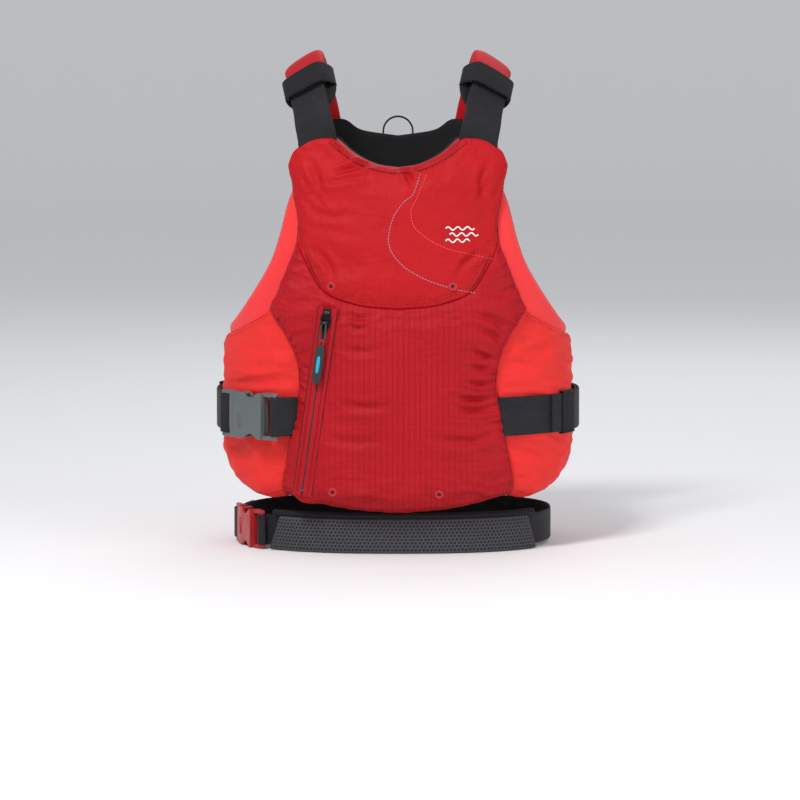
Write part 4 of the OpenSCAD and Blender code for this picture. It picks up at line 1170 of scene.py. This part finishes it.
for side, label in ((1, "left"), (-1, "right")):
    warp = arch_warp(side)
    down = ray(LOCK_PHI - 90)
    lock_up = ray(LOCK_PHI)
    bar = LOCK_R * lock_up + 14 * down
    arc = [STRAP_MID * ray(p) for p in np.arange(34, LOCK_PHI - 13, 2.0)]
    turn = [bar + MID_TURN * (math.cos(a) * down + math.sin(a) * lock_up) for a in np.radians(np.arange(-90, -301, -15))]
    back = [TAIL_MID * ray(p) for p in np.arange(LOCK_PHI - 24, 33, -2.0)]
    path = soft(np.concatenate([foot(STRAP_MID), arc, turn, back, foot(TAIL_MID)[::-1]]), 1.5, 2)
    strap = ribbon(label + "_shoulder_webbing", in_plane(path), (1, 0, 0), STRAP_W, "jacket", BLACK_WEB, warp, ribs=15)
    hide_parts(label + "_shoulder_strap")

    def lock_place(v, side=side, down=down, lock_up=lock_up):
        flat = LOCK_R * lock_up + v[:, :1] * down + v[:, 2:] * lock_up
        return arch_warp(side)(np.concatenate([v[:, 1:2], flat], 1))

    lock = assemble(label + "_shoulder_ladder", ladder_parts(STRAP_W), lock_place, "jacket", GREY_PLASTIC)
    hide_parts(label + "_shoulder_lock")
    turn = [LOCK_R * lock_up + MID_TURN * (math.cos(a) * down + math.sin(a) * lock_up) for a in np.radians(np.arange(-90, 91, 15))]
    path = soft(np.concatenate([[(LOCK_R - 4) * ray(LOCK_PHI + 7)], turn, [(LOCK_R + 1.5) * ray(LOCK_PHI + 7)]]), 1.2, 2)
    loop = ribbon(label + "_yoke_web_loop", in_plane(path), (1, 0, 0), STRAP_W, "jacket", BLACK_WEB, warp, ribs=15)
    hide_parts(label + "_yoke_loop")

    pad = []
    for d in (0, 0.6, 1.8, 3.6, 6, 9, 12.5, 16, 20, 24, 30, 36, 42, 48):
        wide = math.sqrt(max(25**2 - max(25 - d - 0.8, 0) ** 2, 1))
        pad.append((LOCK_PHI - 28 + math.degrees(d / 92), wide, 92.2, 2.3 * min(1, 0.45 + d / 5), -3.5))
    pad = loft(label + "_shoulder_cushion", side, pad, "jacket", NEOPRENE, 0.6)
    subdivide(pad)
    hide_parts(label + "_shoulder_pad")

    yoke = []
    for k, phi in enumerate(np.linspace(LOCK_PHI + 4.5, 176, 46)):
        start = float(fade(k, -3, 6))
        dip = 0.35 * math.sin(phi / 3.1)
        flat = float(fade(phi, 120, 160))
        yoke.append((phi, 18.5 + 3.2 * start, 98.4 - 1.4 * flat + dip, (7.4 - 2.0 * flat) * (0.6 + 0.4 * start), -2.0))
    yoke = loft(label + "_yoke_cushion", side, yoke, "jacket", CHEST_RED, 0.72)
    subdivide(yoke)
    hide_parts(label + "_shoulder_yoke")

    ring = [(-28, 89.6), (18, 89.6), (22.2, 92), (22.5, 103), (19.5, 109), (-16, 109.6), (-22.5, 106), (-28.4, 96)]
    ring = np.array(ring + ring[:1], float)
    for _ in range(3):
        ring = np.concatenate([np.stack([ring[:-1] * 0.75 + ring[1:] * 0.25, ring[:-1] * 0.25 + ring[1:] * 0.75], 1).reshape(-1, 2)])
        ring = np.concatenate([ring, ring[:1]])
    ring = resample(ring, 72)[:-1]
    ahead = unit(np.roll(ring, -1, 0) - np.roll(ring, 1, 0))
    flat = np.stack([ring[:, 0], np.zeros(len(ring)), ring[:, 1]], 1)
    outward = np.stack([ahead[:, 1], np.zeros(len(ring)), -ahead[:, 0]], 1)
    rim = np.array([(t, 0.8 + (0.12 if abs(t) > 10 else 0)) for t in (-13.4, -12.8, -10.8, -10, -5, 0, 5, 10, 10.8, 12.8, 13.4)])
    band_profile = np.concatenate([rim, rim[::-1] * [1, 0] + [0, -0.8]])

    def band_warp(v, side=side):
        return on_arch(side, v[..., 0], LOCK_PHI - 7.6 + np.degrees(v[..., 1] / 104), v[..., 2])

    sleeve = sweep(label + "_sleeve_band", flat, (0, 1, 0), outward, band_profile, label + "_sleeve", NEOPRENE, True, band_warp)
    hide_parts(label + "_strap_sleeve")

# Hang loop behind the neck
box_lo, box_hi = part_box("hang_loop")
loop_mid = np.array([(box_lo[0] + box_hi[0]) / 2, (box_lo[1] + box_hi[1]) / 2, box_lo[2]]) / MM
a = np.radians(np.linspace(0, 180, 30))
arch = np.stack([15 * np.cos(a), 0 * a, 15 * np.sin(a)], 1)
arch = np.concatenate([[[15, 0, -12]], arch, [[-15, 0, -12]]]) + loop_mid
loop = ribbon("hang_loop_web", soft(arch, 1.4, 1), (0, 1, 0), 10, "jacket", BLACK_TAPE, thick=1.8, ribs=5)
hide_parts("hang_loop")

# ---------------------------------------------------------------- side straps
STRAP_OFF = 34.6                               # inner face of the side webbing
SIDE_MID = STRAP_OFF + WEB_T / 2
SIDE_TAIL = SIDE_MID + WEB_T + GAP
SIDE_Z = 135.0
BUCKLE_MID = 26.0
PLUG_BARS = (50.0, 58.0)
PLUG_BAR_Z = -1.5
SOCKET_BAR = (-11.0, -3.0)


def arc_of(t):
    """Arc length of a direction round the torso, in degrees from the wearer's left."""
    t = np.asarray(t, float)
    return np.interp(np.where(t > 90, t - 360, t), np.linspace(-270, 90, len(ARC)), ARC)


class Mount:
    """Axes of a buckle: X the way the plug leaves, Y down, Z away from the torso."""

    def __init__(self, t, off, z, middle=BUCKLE_MID):
        self.origin = on_torso(arc_of(t), z, off)
        self.out = out_of_torso(arc_of(t))
        self.ahead = np.array([self.out[1], -self.out[0], 0])
        self.middle = middle

    def __call__(self, v):
        v = np.asarray(v, float)
        return self.origin + (v[..., :1] - self.middle) * self.ahead + v[..., 2:] * self.out - v[..., 1:2] * [0, 0, 1]

    def turn(self, x, z, a0, a1, n=14):
        a = np.radians(np.linspace(a0, a1, n))
        return self(np.stack([x + MID_TURN * np.cos(a), 0 * a, z + MID_TURN * np.sin(a)], 1))


def along(t0, t1, off, z, n=24):
    return on_torso(arc_of(np.linspace(t0, t1, n)), z, off)


def wrap_path(t0, t1, off, z, n=24):
    """Like along, for ranges that pass the middle of the right side."""
    t = np.linspace(t0, t1, n)
    return on_torso(arc_of(np.where(t > 180, t - 360, t)), z, off)


def level_web(name, pieces, width, body, ribs=15, step=1.7):
    path = soft(np.concatenate(pieces), step, 2)
    return ribbon(name, path, (0, 0, 1), width, body, BLACK_WEB, ribs=ribs)


side_mount = Mount(-143.5, STRAP_OFF + 9, SIDE_Z)
seam_start = on_torso(arc_of([-119.5, -122]), SIDE_Z, [22, 31])
seam_end = on_torso(arc_of([-123, -119.5]), SIDE_Z, [SIDE_TAIL - 3, 25])
strap = level_web("side_web_front", [seam_start, side_mount.turn(*SOCKET_BAR, -52, 143), seam_end], STRAP_W, "jacket")
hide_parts("side_strap_front")

over_bar = side_mount.turn(PLUG_BARS[1], PLUG_BAR_Z, 90, 48, 4)
strap = level_web("side_web_rear", [wrap_path(158, 198, SIDE_MID, SIDE_Z), side_mount.turn(PLUG_BARS[0], PLUG_BAR_Z, -119, -270),
    over_bar, wrap_path(196, 160, SIDE_TAIL, SIDE_Z)], STRAP_W, None)
wrap_path(160, 164, SIDE_MID, SIDE_Z)[0] * MM
side_mount(np.array([48.0, 0, 0])) * MM
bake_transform(strap)
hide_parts("side_strap_rear")

lock_mount = Mount(40, STRAP_OFF + 2.5 + WEB_T, SIDE_Z)
left_start = on_torso(arc_of([-60.5, -58]), SIDE_Z, [22, 31])
strap = level_web("left_web_front", [left_start, along(-55, 26, SIDE_MID, SIDE_Z, 50), lock_mount.turn(40, 0, -104, -294),
    along(22, -33, SIDE_TAIL, SIDE_Z, 40)], STRAP_W, None)
along(20, 22, SIDE_MID, SIDE_Z)[0] * MM
lock_mount(np.array([36.0, 0, 0])) * MM
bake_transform(strap)
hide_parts("left_side_strap")
strap = level_web("left_web_rear", [along(60, 46, SIDE_MID, SIDE_Z, 12), lock_mount.turn(26, 0, -87, 105),
    along(50, 60, SIDE_TAIL, SIDE_Z, 10)], STRAP_W, "jacket")
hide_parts("left_rear_strap")
lock = assemble("left_strap_ladder", [(v + [26, 0, 0], f) for v, f in ladder_parts(STRAP_W)], lock_mount, "left_lock", BLACK_METAL)
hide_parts("left_side_lock")


def keeper(name, t0, t1, replaced):
    """Elastic band round both layers of the side webbing."""
    half_w, half_h = STRAP_W / 2 + 1.4, (SIDE_TAIL - SIDE_MID + WEB_T) / 2 + 1.0
    a = np.linspace(0, 2 * math.pi, 64, endpoint=False)
    ring = np.stack([signed_power(np.cos(a), 0.14) * half_w, signed_power(np.sin(a), 0.3) * half_h], 1)
    ring[:, 1] += 0.6 * np.sin(3 * a) * (np.abs(ring[:, 1]) > 1)
    middle = (SIDE_MID + SIDE_TAIL) / 2
    s0, s1 = arc_of(t0), arc_of(t1)
    reach = abs(s1 - s0)
    edge = np.array([(u, 0.7 + 0.25 * math.cos(u * 1.9)) for u in np.linspace(-reach / 2, reach / 2, 24)])
    profile = np.concatenate([edge, (edge * [1, 0])[::-1]])
    path = np.stack([np.zeros(64), ring[:, 1], ring[:, 0]], 1)
    ahead = unit(np.roll(path, -1, 0) - np.roll(path, 1, 0))
    outward = np.stack([0 * a, ahead[:, 2], -ahead[:, 1]], 1) * -1
    outward *= np.sign((outward * path).sum(1))[:, None]
    obj = sweep(name, path, (1, 0, 0), outward, profile, "jacket", BLACK_TAPE, True,
        lambda v: on_torso((s0 + s1) / 2 + v[..., 0], SIDE_Z + v[..., 2], middle + v[..., 1]))
    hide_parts(replaced)


keeper("side_elastic_keeper", 163, 170, "side_strap_keeper")
keeper("left_elastic_keeper", -27, -17, "left_strap_keeper")


# ---------------------------------------------------------------- side-release buckles
def curve_corner(points, radius_steps=3):
    p = np.asarray(points, float)
    for _ in range(radius_steps):
        nxt = np.roll(p, -1, 0)
        p = np.stack([p * 0.78 + nxt * 0.22, p * 0.22 + nxt * 0.78], 1).reshape(-1, 2)
    return p


def socket_plate(full):
    """Outline of a socket shell: a bowed mouth, waisted sides where the prongs show, square strap end."""
    h = full / 2
    half = [(0, h - 0.4), (4.5, h), (8, h - 2.2), (11, h - 4.6), (15.5, h - 5.4), (20, h - 4.2), (24, h - 0.6), (30, h),
        (35.6, h - 0.8)]
    mouth = [(36 + 1.6 * math.cos(math.pi * y / full), y) for y in np.linspace(h - 4, -h + 4, 9)]
    return curve_corner(half + mouth + [(x, -y) for x, y in half[::-1]], 2)


def buckle(prefix, mount, width, material, plug_body, prong_body):
    full = width + 8
    h = full / 2
    plate = socket_plate(full)
    parts = [prism(plate, 3.3, 6.0), prism(plate, -6.0, -3.3), block(0.4, 3.4, -h + 3, h - 3, -3.6, 3.6)]
    for side in (-1, 1):
        y0, y1 = sorted((side * (h - 0.9), side * (h - 3.6)))
        parts.append(block(24.5, 35.6, y0, y1, -3.6, 3.6))
        parts.append(block(0.8, 5.0, y0, y1, -3.6, 3.6))
        rail = curve_corner([(-14, -5.2), (-13.2, -1.4), (-6, 0.8), (2, 3.4), (2, -5.6), (-12.6, -5.8)], 2)
        v, f = prism(rail, -1.9, 1.9)
        parts.append((np.stack([v[:, 0], side * (h - 2) + v[:, 2], v[:, 1]], 1), f))
    parts.append(rod(*SOCKET_BAR, h - 2, 2.2))
    socket = assemble(prefix + "_socket_shell", parts, mount, "jacket", material, 0.7, 3)
    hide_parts(prefix + "_buckle_socket")
    ridges = [rod(x, 5.9, h - 11, 0.55, 10) for x in (27, 29.4, 31.8)]
    grip = assemble(prefix + "_socket_grip", ridges, mount, "jacket", material, 0)
    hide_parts(prefix + "_buckle_socket")

    bay = width - 4
    prong_y = bay / 2 - 2.1
    shoulder = curve_corner([(36.8, h - 1), (36.8, -h + 1), (41, -h), (46, -h + 0.4), (46, h - 0.4), (41, h)], 2)
    parts = [prism(shoulder, -4.2, 4.2), block(10, 42, -2.5, 2.5, -2, 2)]
    for side in (-1, 1):
        rail = curve_corner([(42, -4), (42, 3.2), (52, 1.6), (60, 0.9), (61, -2), (59.5, -4)], 2)
        v, f = prism(rail, -1.9, 1.9)
        parts.append((np.stack([v[:, 0], side * (h - 2) + v[:, 2], v[:, 1]], 1), f))
    parts += [rod(x, PLUG_BAR_Z, h - 2, 2.2) for x in PLUG_BARS]
    plug = assemble(prefix + "_plug_frame", parts, mount, plug_body, material, 0.6, 3)
    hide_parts(prefix + "_buckle_plug")
    for side, label in ((-1, "upper"), (1, "lower")):
        inner = [(41.5, prong_y - 1.8), (30, prong_y - 1.4), (16, prong_y - 0.8), (6, prong_y - 1.6), (3.6, prong_y - 0.8)]
        outer = [(3.8, prong_y + 1.9), (5, prong_y + 3.3), (8.5, prong_y + 3.3), (15, prong_y + 2.6), (23, prong_y + 1.8),
            (41.5, prong_y + 1.8)]
        v, f = prism(curve_corner(inner + outer, 1), -2.7, 2.7)
        v[:, 1] *= side
        prong = assemble("%s_%s_spring_prong" % (prefix, label), [(v, f)], mount, "%s_%s_prong" % (prong_body, label), material,
            0.5, 3)
        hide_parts("%s_%s_prong" % (prefix, label))


buckle("side", side_mount, STRAP_W, GREY_PLASTIC, "side_plug", "side")

# ---------------------------------------------------------------- waist belt
BELT_W, BELT_H, WEB_OFF = 30.0, 34.0, 9.0
PAD_OFF, PAD_T = WEB_OFF + WEB_T + GAP, 6.0
BELT_Z = BELT_W / 2 + 4
belt_mount = Mount(-163, 14, BELT_Z)
belt_mid = WEB_OFF + WEB_T / 2
strap = level_web("belt_web_front_strip", [along(40, -138, belt_mid, BELT_Z, 90), belt_mount.turn(*SOCKET_BAR, -46, 140),
    belt_mount(np.array([[-17.0, 0, -4.5]]))], BELT_W, "jacket", 11)
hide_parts("belt_web_front")
strap = level_web("belt_web_back_strip", [wrap_path(40.1, 176, belt_mid, BELT_Z, 90),
    belt_mount.turn(PLUG_BARS[0], PLUG_BAR_Z, -113, -270), belt_mount.turn(PLUG_BARS[1], PLUG_BAR_Z, 90, 48, 4),
    wrap_path(172, 160, belt_mid + WEB_T + GAP, BELT_Z)], BELT_W, None, 11)
wrap_path(150, 152, belt_mid, BELT_Z)[0] * MM
belt_mount(np.array([48.0, 0, 0])) * MM
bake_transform(strap)
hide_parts("belt_web_back")
buckle("belt", belt_mount, BELT_W, RED_PLASTIC, "belt_plug", "belt")


def hexagons(x, y, pitch):
    """Distance from the nearest cell centre of a honeycomb, 0 at the centre and 1 at the walls."""
    row = pitch * math.sqrt(3)
    best = np.full(np.shape(x), 9.0)
    for dx, dy in ((0, 0), (pitch / 2, row / 2)):
        u = (x - dx + pitch / 2) % pitch - pitch / 2
        v = (y - dy + row / 2) % row - row / 2
        u, v = np.abs(u), np.abs(v)
        best = np.minimum(best, np.maximum(u, u / 2 + v * math.sqrt(3) / 2) / (pitch / 2))
    return best


def mesh_pad(name, s0, s1, slant, replaced, step=0.85):
    """A rounded pad of spacer mesh with shallow cells pressed into its outer face; painted shade darkens the cells to
    stand in for open holes.
    """
    n, m = int(abs(s1 - s0) / step), int(BELT_H / step)
    u, v = np.meshgrid(np.linspace(0, 1, n + 1), np.linspace(0, 1, m + 1))
    s = s0 + (s1 - s0) * u + slant * (v - 0.5) * (1 - 2 * u)
    z = BELT_H * v
    rim = np.minimum(np.minimum(u * abs(s1 - s0), (1 - u) * abs(s1 - s0)), np.minimum(z, BELT_H - z))
    full = np.clip(rim / 5.5, 0, 1)
    rise = PAD_T * (0.34 + 0.66 * np.sqrt(1 - (1 - full) ** 2))
    cell = np.clip((0.82 - hexagons(s, z, 3.9)) / 0.3, 0, 1)
    # The cell mask sinks the outer face a little and also carries painted shade into the cells' colour
    pit = cell * cell * (3 - 2 * cell) * np.clip(rim / 2.5, 0, 1)
    puff = 0.5 * np.sin(s / 9.0) * np.sin(math.pi * v)
    outer = on_torso(s, z, PAD_OFF + rise + puff * full - 1.0 * pit).reshape(-1, 3)
    inner = on_torso(s, z, PAD_OFF).reshape(-1, 3)
    rows, cols = s.shape
    count = rows * cols
    faces = grid_faces(rows, cols)
    rim_loop = list(range(cols)) + [r * cols + cols - 1 for r in range(1, rows)]
    rim_loop += [(rows - 1) * cols + c for c in range(cols - 2, -1, -1)] + [r * cols for r in range(rows - 2, 0, -1)]
    for a, b in zip(rim_loop, rim_loop[1:] + rim_loop[:1]):
        faces.append((b, a, a + count, b + count))
    faces += grid_faces(rows, cols, count, flip=True)
    obj = make(name, np.concatenate([outer, inner]), faces, "jacket", MESH_CELLS, np.tile(np.stack([s, z], -1).reshape(-1, 2), (2, 1)))
    layer = obj.data.attributes.new("pit", "FLOAT", "POINT")
    layer.data.foreach_set("value", np.concatenate([pit.ravel(), np.zeros(count)]).astype(np.float32))
    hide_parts(replaced)


MESH_CELLS, cell_tree, cell_shader = nodes_of("mesh_cells", linear(74, 73, 79), 0.72)
cell_shade_node = cell_tree.nodes.new("ShaderNodeAttribute")
cell_shade_node.attribute_name = "pit"
yarn = noise_node(cell_tree, coordinates(cell_tree), 1500)
tone = mix_color(cell_tree, yarn, linear(57, 56, 62), linear(90, 89, 96))
# Painted shade: the cells are darkened nearly to black, standing in for the shade inside open holes
tone = mix_color(cell_tree, cell_shade_node.outputs["Fac"], tone, linear(13, 13, 15))
cell_tree.links.new(tone, cell_shader.inputs["Base Color"])
bump(cell_tree, cell_shader, yarn, 0.5, 0.0004)
mesh_pad("belt_front_mesh_pad", arc_of(-139), arc_of(-34), 14, "belt_front_pad")
back_start, back_end = arc_of(34), GIRTH + arc_of(146)
mesh_pad("belt_back_mesh_pad", back_start, back_end, 14, "belt_back_pad", 1.1)

# Bound top edge of the front pad
s_line = np.linspace(arc_of(-139.5), arc_of(-33), 120)
path = on_torso(s_line, 37.0, WEB_OFF + 4.4)
binding = sweep("belt_bound_edge", path, out_of_torso(s_line), (0, 0, 1), strip_profile(8.6, 5.2, 10), "jacket", BLACK_TAPE)
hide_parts("belt_binding")

# ---------------------------------------------------------------- pocket zip
ZIP_TOP, ZIP_END = (-68.5, 234.0), (-92.0, 66.0)
POCKET_OUT = 40.8
zip_a = on_torso(arc_at(ZIP_TOP[0], POCKET_OUT), ZIP_TOP[1], POCKET_OUT)
zip_b = on_torso(arc_at(ZIP_END[0], POCKET_OUT), ZIP_END[1], POCKET_OUT)
zip_a[1] -= float(lean_at(0, ZIP_TOP[1]))
zip_up = unit(zip_a - zip_b)
zip_out = unit(np.array([zip_up[1], -zip_up[0], 0]))
zip_out = zip_out * -np.sign(zip_out[1])
zip_across = np.cross(zip_up, zip_out)
ZIP_LEN = float(np.linalg.norm(zip_a - zip_b))


def on_zip(v):
    """World points from (out, across, up the zip)."""
    v = np.asarray(v, float)
    return zip_a + v[..., :1] * zip_out + v[..., 1:2] * zip_across + v[..., 2:] * zip_up


def zip_strip(name, line, profile, material, body="jacket"):
    """A strip along the zip; line is (out, across, up) and the profile is (across, out)."""
    line = np.asarray(line, float)
    return sweep(name, line, (0, 1, 0), (1, 0, 0), profile, body, material, warp=on_zip)


up_line = np.linspace(8, -ZIP_LEN - 6, 90)
tape = zip_strip("zip_tape_cloth", np.stack([np.full(90, 1.6), 0 * up_line, up_line], 1), strip_profile(20, 0.9), BLACK_TAPE)
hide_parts("zip_tape")
verts, faces = [], []
for k, z in enumerate(np.arange(2, -ZIP_LEN, -1.25)):
    side = 1 if k % 2 else -1
    a = np.linspace(-0.4, math.pi + 0.4, 9)
    start = len(verts)
    path = np.stack([2.5 + 0.75 * np.sin(a), side * (0.5 - 1.6 * np.cos(a)), z + 0.15 * np.cos(a)], 1)
    across, up = frames(path, np.tile([0.0, 0, 1], (9, 1)))
    for p, c, n in zip(path, across, up):
        verts += [p + 0.42 * (c * math.cos(b) + n * math.sin(b)) for b in np.linspace(0, 2 * math.pi, 6, endpoint=False)]
    faces += grid_faces(9, 6, start, wrap=True)
    faces += [tuple(range(start, start + 6))[::-1], tuple(range(start + 48, start + 54))]
coil = make("zip_coil_teeth", on_zip(np.array(verts)), faces, "jacket", BLACK_RUBBER)
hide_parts("zip_coil")
stops = assemble("zip_end_stops", [block(2.2, 4.0, -3, 3, 3.2, 5.6), block(2.2, 4.0, -3, 3, -ZIP_LEN - 3, -ZIP_LEN - 1)], on_zip,
    "jacket", GREY_METAL, 0.4)
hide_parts("zip_stops")

lips = []
for side in (-1, 1):
    rows = []
    for z in np.linspace(10, -ZIP_LEN - 8, 120):
        part = 1 - float(fade(-z, 6, 26))
        inner = -0.1 + 3.4 * part + 0.12 * math.sin(z / 7.0)
        wave = 0.25 * perlin(z / 9, side * 3.0)
        rows.append([(2.6 + wave, inner + 0.9, z), (3.3 + wave, inner + 0.3, z), (3.5 + wave, inner + 1.2, z),
            (3.2 + wave, inner + 3, z), (2.6 + wave, 8.2, z), (1.7, 10.2, z), (0.0, 11.2, z), (-1.4, 11.4, z), (-1.4, 5, z),
            (1.0, inner + 1.4, z)])
    v = np.array(rows)
    v[..., 1] *= side
    f = grid_faces(len(rows), 10, wrap=True) + [tuple(range(10))[::-1], tuple(range(1190, 1200))]
    uv = np.stack([v[..., 1], v[..., 2]], -1).reshape(-1, 2)
    lip = make("zip_welt_%s" % ("right" if side < 0 else "left"), on_zip(v.reshape(-1, 3)), f, "jacket", POCKET_RED, uv)
    subdivide(lip)
    z = np.arange(4, -ZIP_LEN - 4, -3.2)
    row = on_zip(np.stack([np.full(len(z), 3.1), np.full(len(z), side * 6.2), z], 1))
    sew("zip_topstitch_%s" % ("right" if side < 0 else "left"), [(row, np.broadcast_to(zip_out, row.shape))], RED_THREAD,
        pitch=3.2)

HINGE = (8.2, -5.0)
slider_plate = curve_corner([(-13, 2.2), (-13, -2.2), (-8, -4.6), (0, -5.4), (3, -3), (3, 3), (0, 5.4), (-8, 4.6)], 2)
v, f = prism(slider_plate, 4.1, 5.8)
parts = [(np.stack([v[:, 2], v[:, 1], v[:, 0]], 1), f), block(2.5, 4.3, -5.2, -3.2, -10, 1.5), block(2.5, 4.3, 3.2, 5.2, -10, 1.5)]
for side in (-1, 1):
    ear = curve_corner([(5.4, -7.4), (9.0, -6.6), (9.6, -5), (9.0, -3.4), (5.4, -1.6)], 2)
    v, f = prism(ear, side * 3.0 - 0.6, side * 3.0 + 0.6)
    parts.append((np.stack([v[:, 0], v[:, 2], v[:, 1]], 1), f))
v, f = rod(HINGE[0], HINGE[1], 3.2, 0.9, 14)
parts.append((v, f))
slider = assemble("zip_slider_body", parts, on_zip, "zip_slider", BLACK_METAL, 0.35)
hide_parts("zip_slider")

a = np.linspace(0, 2 * math.pi, 36, endpoint=False)


def zip_ring(name, mid_z, half_z, half_y, thick, material, x=HINGE[0], power=0.6, body="zip_pull"):
    path = np.stack([np.full(36, x), half_y * signed_power(np.sin(a), power), mid_z + half_z * signed_power(np.cos(a), power)], 1)
    outward = np.stack([0 * a, np.sin(a), np.cos(a)], 1)
    return sweep(name, path, (1, 0, 0), outward, circle(thick, 10), body, material, True, on_zip)


link = zip_ring("zip_wire_link", -14.2, 9.2, 2.5, 0.95, GREY_METAL)
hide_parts("zip_pull_link")
cord = zip_ring("zip_cord_ring", -26.0, 3.6, 2.2, 0.9, RED_CORD, power=0.9)
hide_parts("zip_pull_cord")
half = [(-27.2, 2.6), (-29.4, 4.0), (-34, 4.55), (-52, 4.5), (-60, 4.7), (-64, 3.6), (-65.6, 1.6)]
tab_outline = curve_corner([(z, y) for z, y in half] + [(z, -y) for z, y in half[::-1]], 2)
v, f = prism(tab_outline, HINGE[0] - 1.6, HINGE[0] + 1.6)
tab = assemble("zip_grip_tab", [(np.stack([v[:, 2], v[:, 1], v[:, 0]], 1), f)], on_zip, "zip_pull", BLACK_RUBBER, 0.7, 4)
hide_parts("zip_pull_tab")
inlay_outline = curve_corner([(-38, 1.7), (-55, 1.7), (-55, -1.7), (-38, -1.7)], 3)
v, f = prism(inlay_outline, HINGE[0] + 0.6, HINGE[0] + 2.3)
inlay = assemble("zip_tab_inlay", [(np.stack([v[:, 2], v[:, 1], v[:, 0]], 1), f)], on_zip, "zip_pull", BLUE_RUBBER, 0.4)
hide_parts("zip_pull_inlay")

# ---------------------------------------------------------------- light, floor, camera
world = bpy.data.worlds.new("studio")
bpy.context.scene.world = world
world.use_nodes = True
world.node_tree.nodes["Background"].inputs["Color"].default_value = (0.93, 0.95, 1.0, 1)
world.node_tree.nodes["Background"].inputs["Strength"].default_value = 0.5


def lamp(name, place, aim, size, power, color=(1, 1, 1)):
    data = bpy.data.lights.new(name, "AREA")
    data.size = size
    data.energy = power
    data.color = color
    obj = bpy.data.objects.new(name, data)
    bpy.context.scene.collection.objects.link(obj)
    obj.location = place
    obj.rotation_euler = (Vector(aim) - Vector(place)).to_track_quat("-Z", "Y").to_euler()
    return obj


lamp("key", (-0.8, -1.7, 2.3), (0, 0, 0.2), 0.6, 46)
lamp("fill", (1.9, -1.9, 0.9), (0, 0, 0.2), 1.6, 17)
lamp("rim", (0.6, 2.0, 1.8), (0, 0, 0.3), 1.4, 9)

# A round floor that curves up far from the jacket, so that it serves every side
floor_line = [(0.05, 0.0), (2.0, 0.0), (6.0, 0.0)]
floor_line += [(6.0 + 1.5 * math.sin(t), 1.5 - 1.5 * math.cos(t)) for t in np.linspace(0.1, math.pi / 2, 12)]
floor_line.append((7.5, 2.5))
turns = np.linspace(0, 2 * math.pi, 96, endpoint=False)
verts = [(r * math.cos(a), r * math.sin(a), z - 0.0005) for r, z in floor_line for a in turns]
floor_mesh = bpy.data.meshes.new("studio_floor")
floor_mesh.from_pydata(verts, [], grid_faces(len(floor_line), 96, wrap=True) + [tuple(range(96))[::-1]])
floor_mesh.shade_smooth()
floor = bpy.data.objects.new("studio_floor", floor_mesh)
bpy.context.scene.collection.objects.link(floor)
floor_mesh.materials.append(nodes_of("pale_floor", (0.95, 0.95, 0.95), 0.9)[0])

VIEW_TILT = math.radians(5.5)
VIEW_DISTANCE = 4.5
VIEW_WIDTH = 0.8                               # width of the picture at the jacket
AIM = Vector((0.002, 0, 0.141))
camera = bpy.data.objects.new("camera", bpy.data.cameras.new("camera"))
bpy.context.scene.collection.objects.link(camera)
camera.location = AIM + VIEW_DISTANCE * Vector((0, -math.cos(VIEW_TILT), math.sin(VIEW_TILT)))
camera.rotation_euler = (AIM - camera.location).to_track_quat("-Z", "Y").to_euler()
camera.data.sensor_width = 36
camera.data.lens = 36 * VIEW_DISTANCE / VIEW_WIDTH
bpy.context.scene.camera = camera
bpy.context.scene.view_settings.view_transform = "Standard"
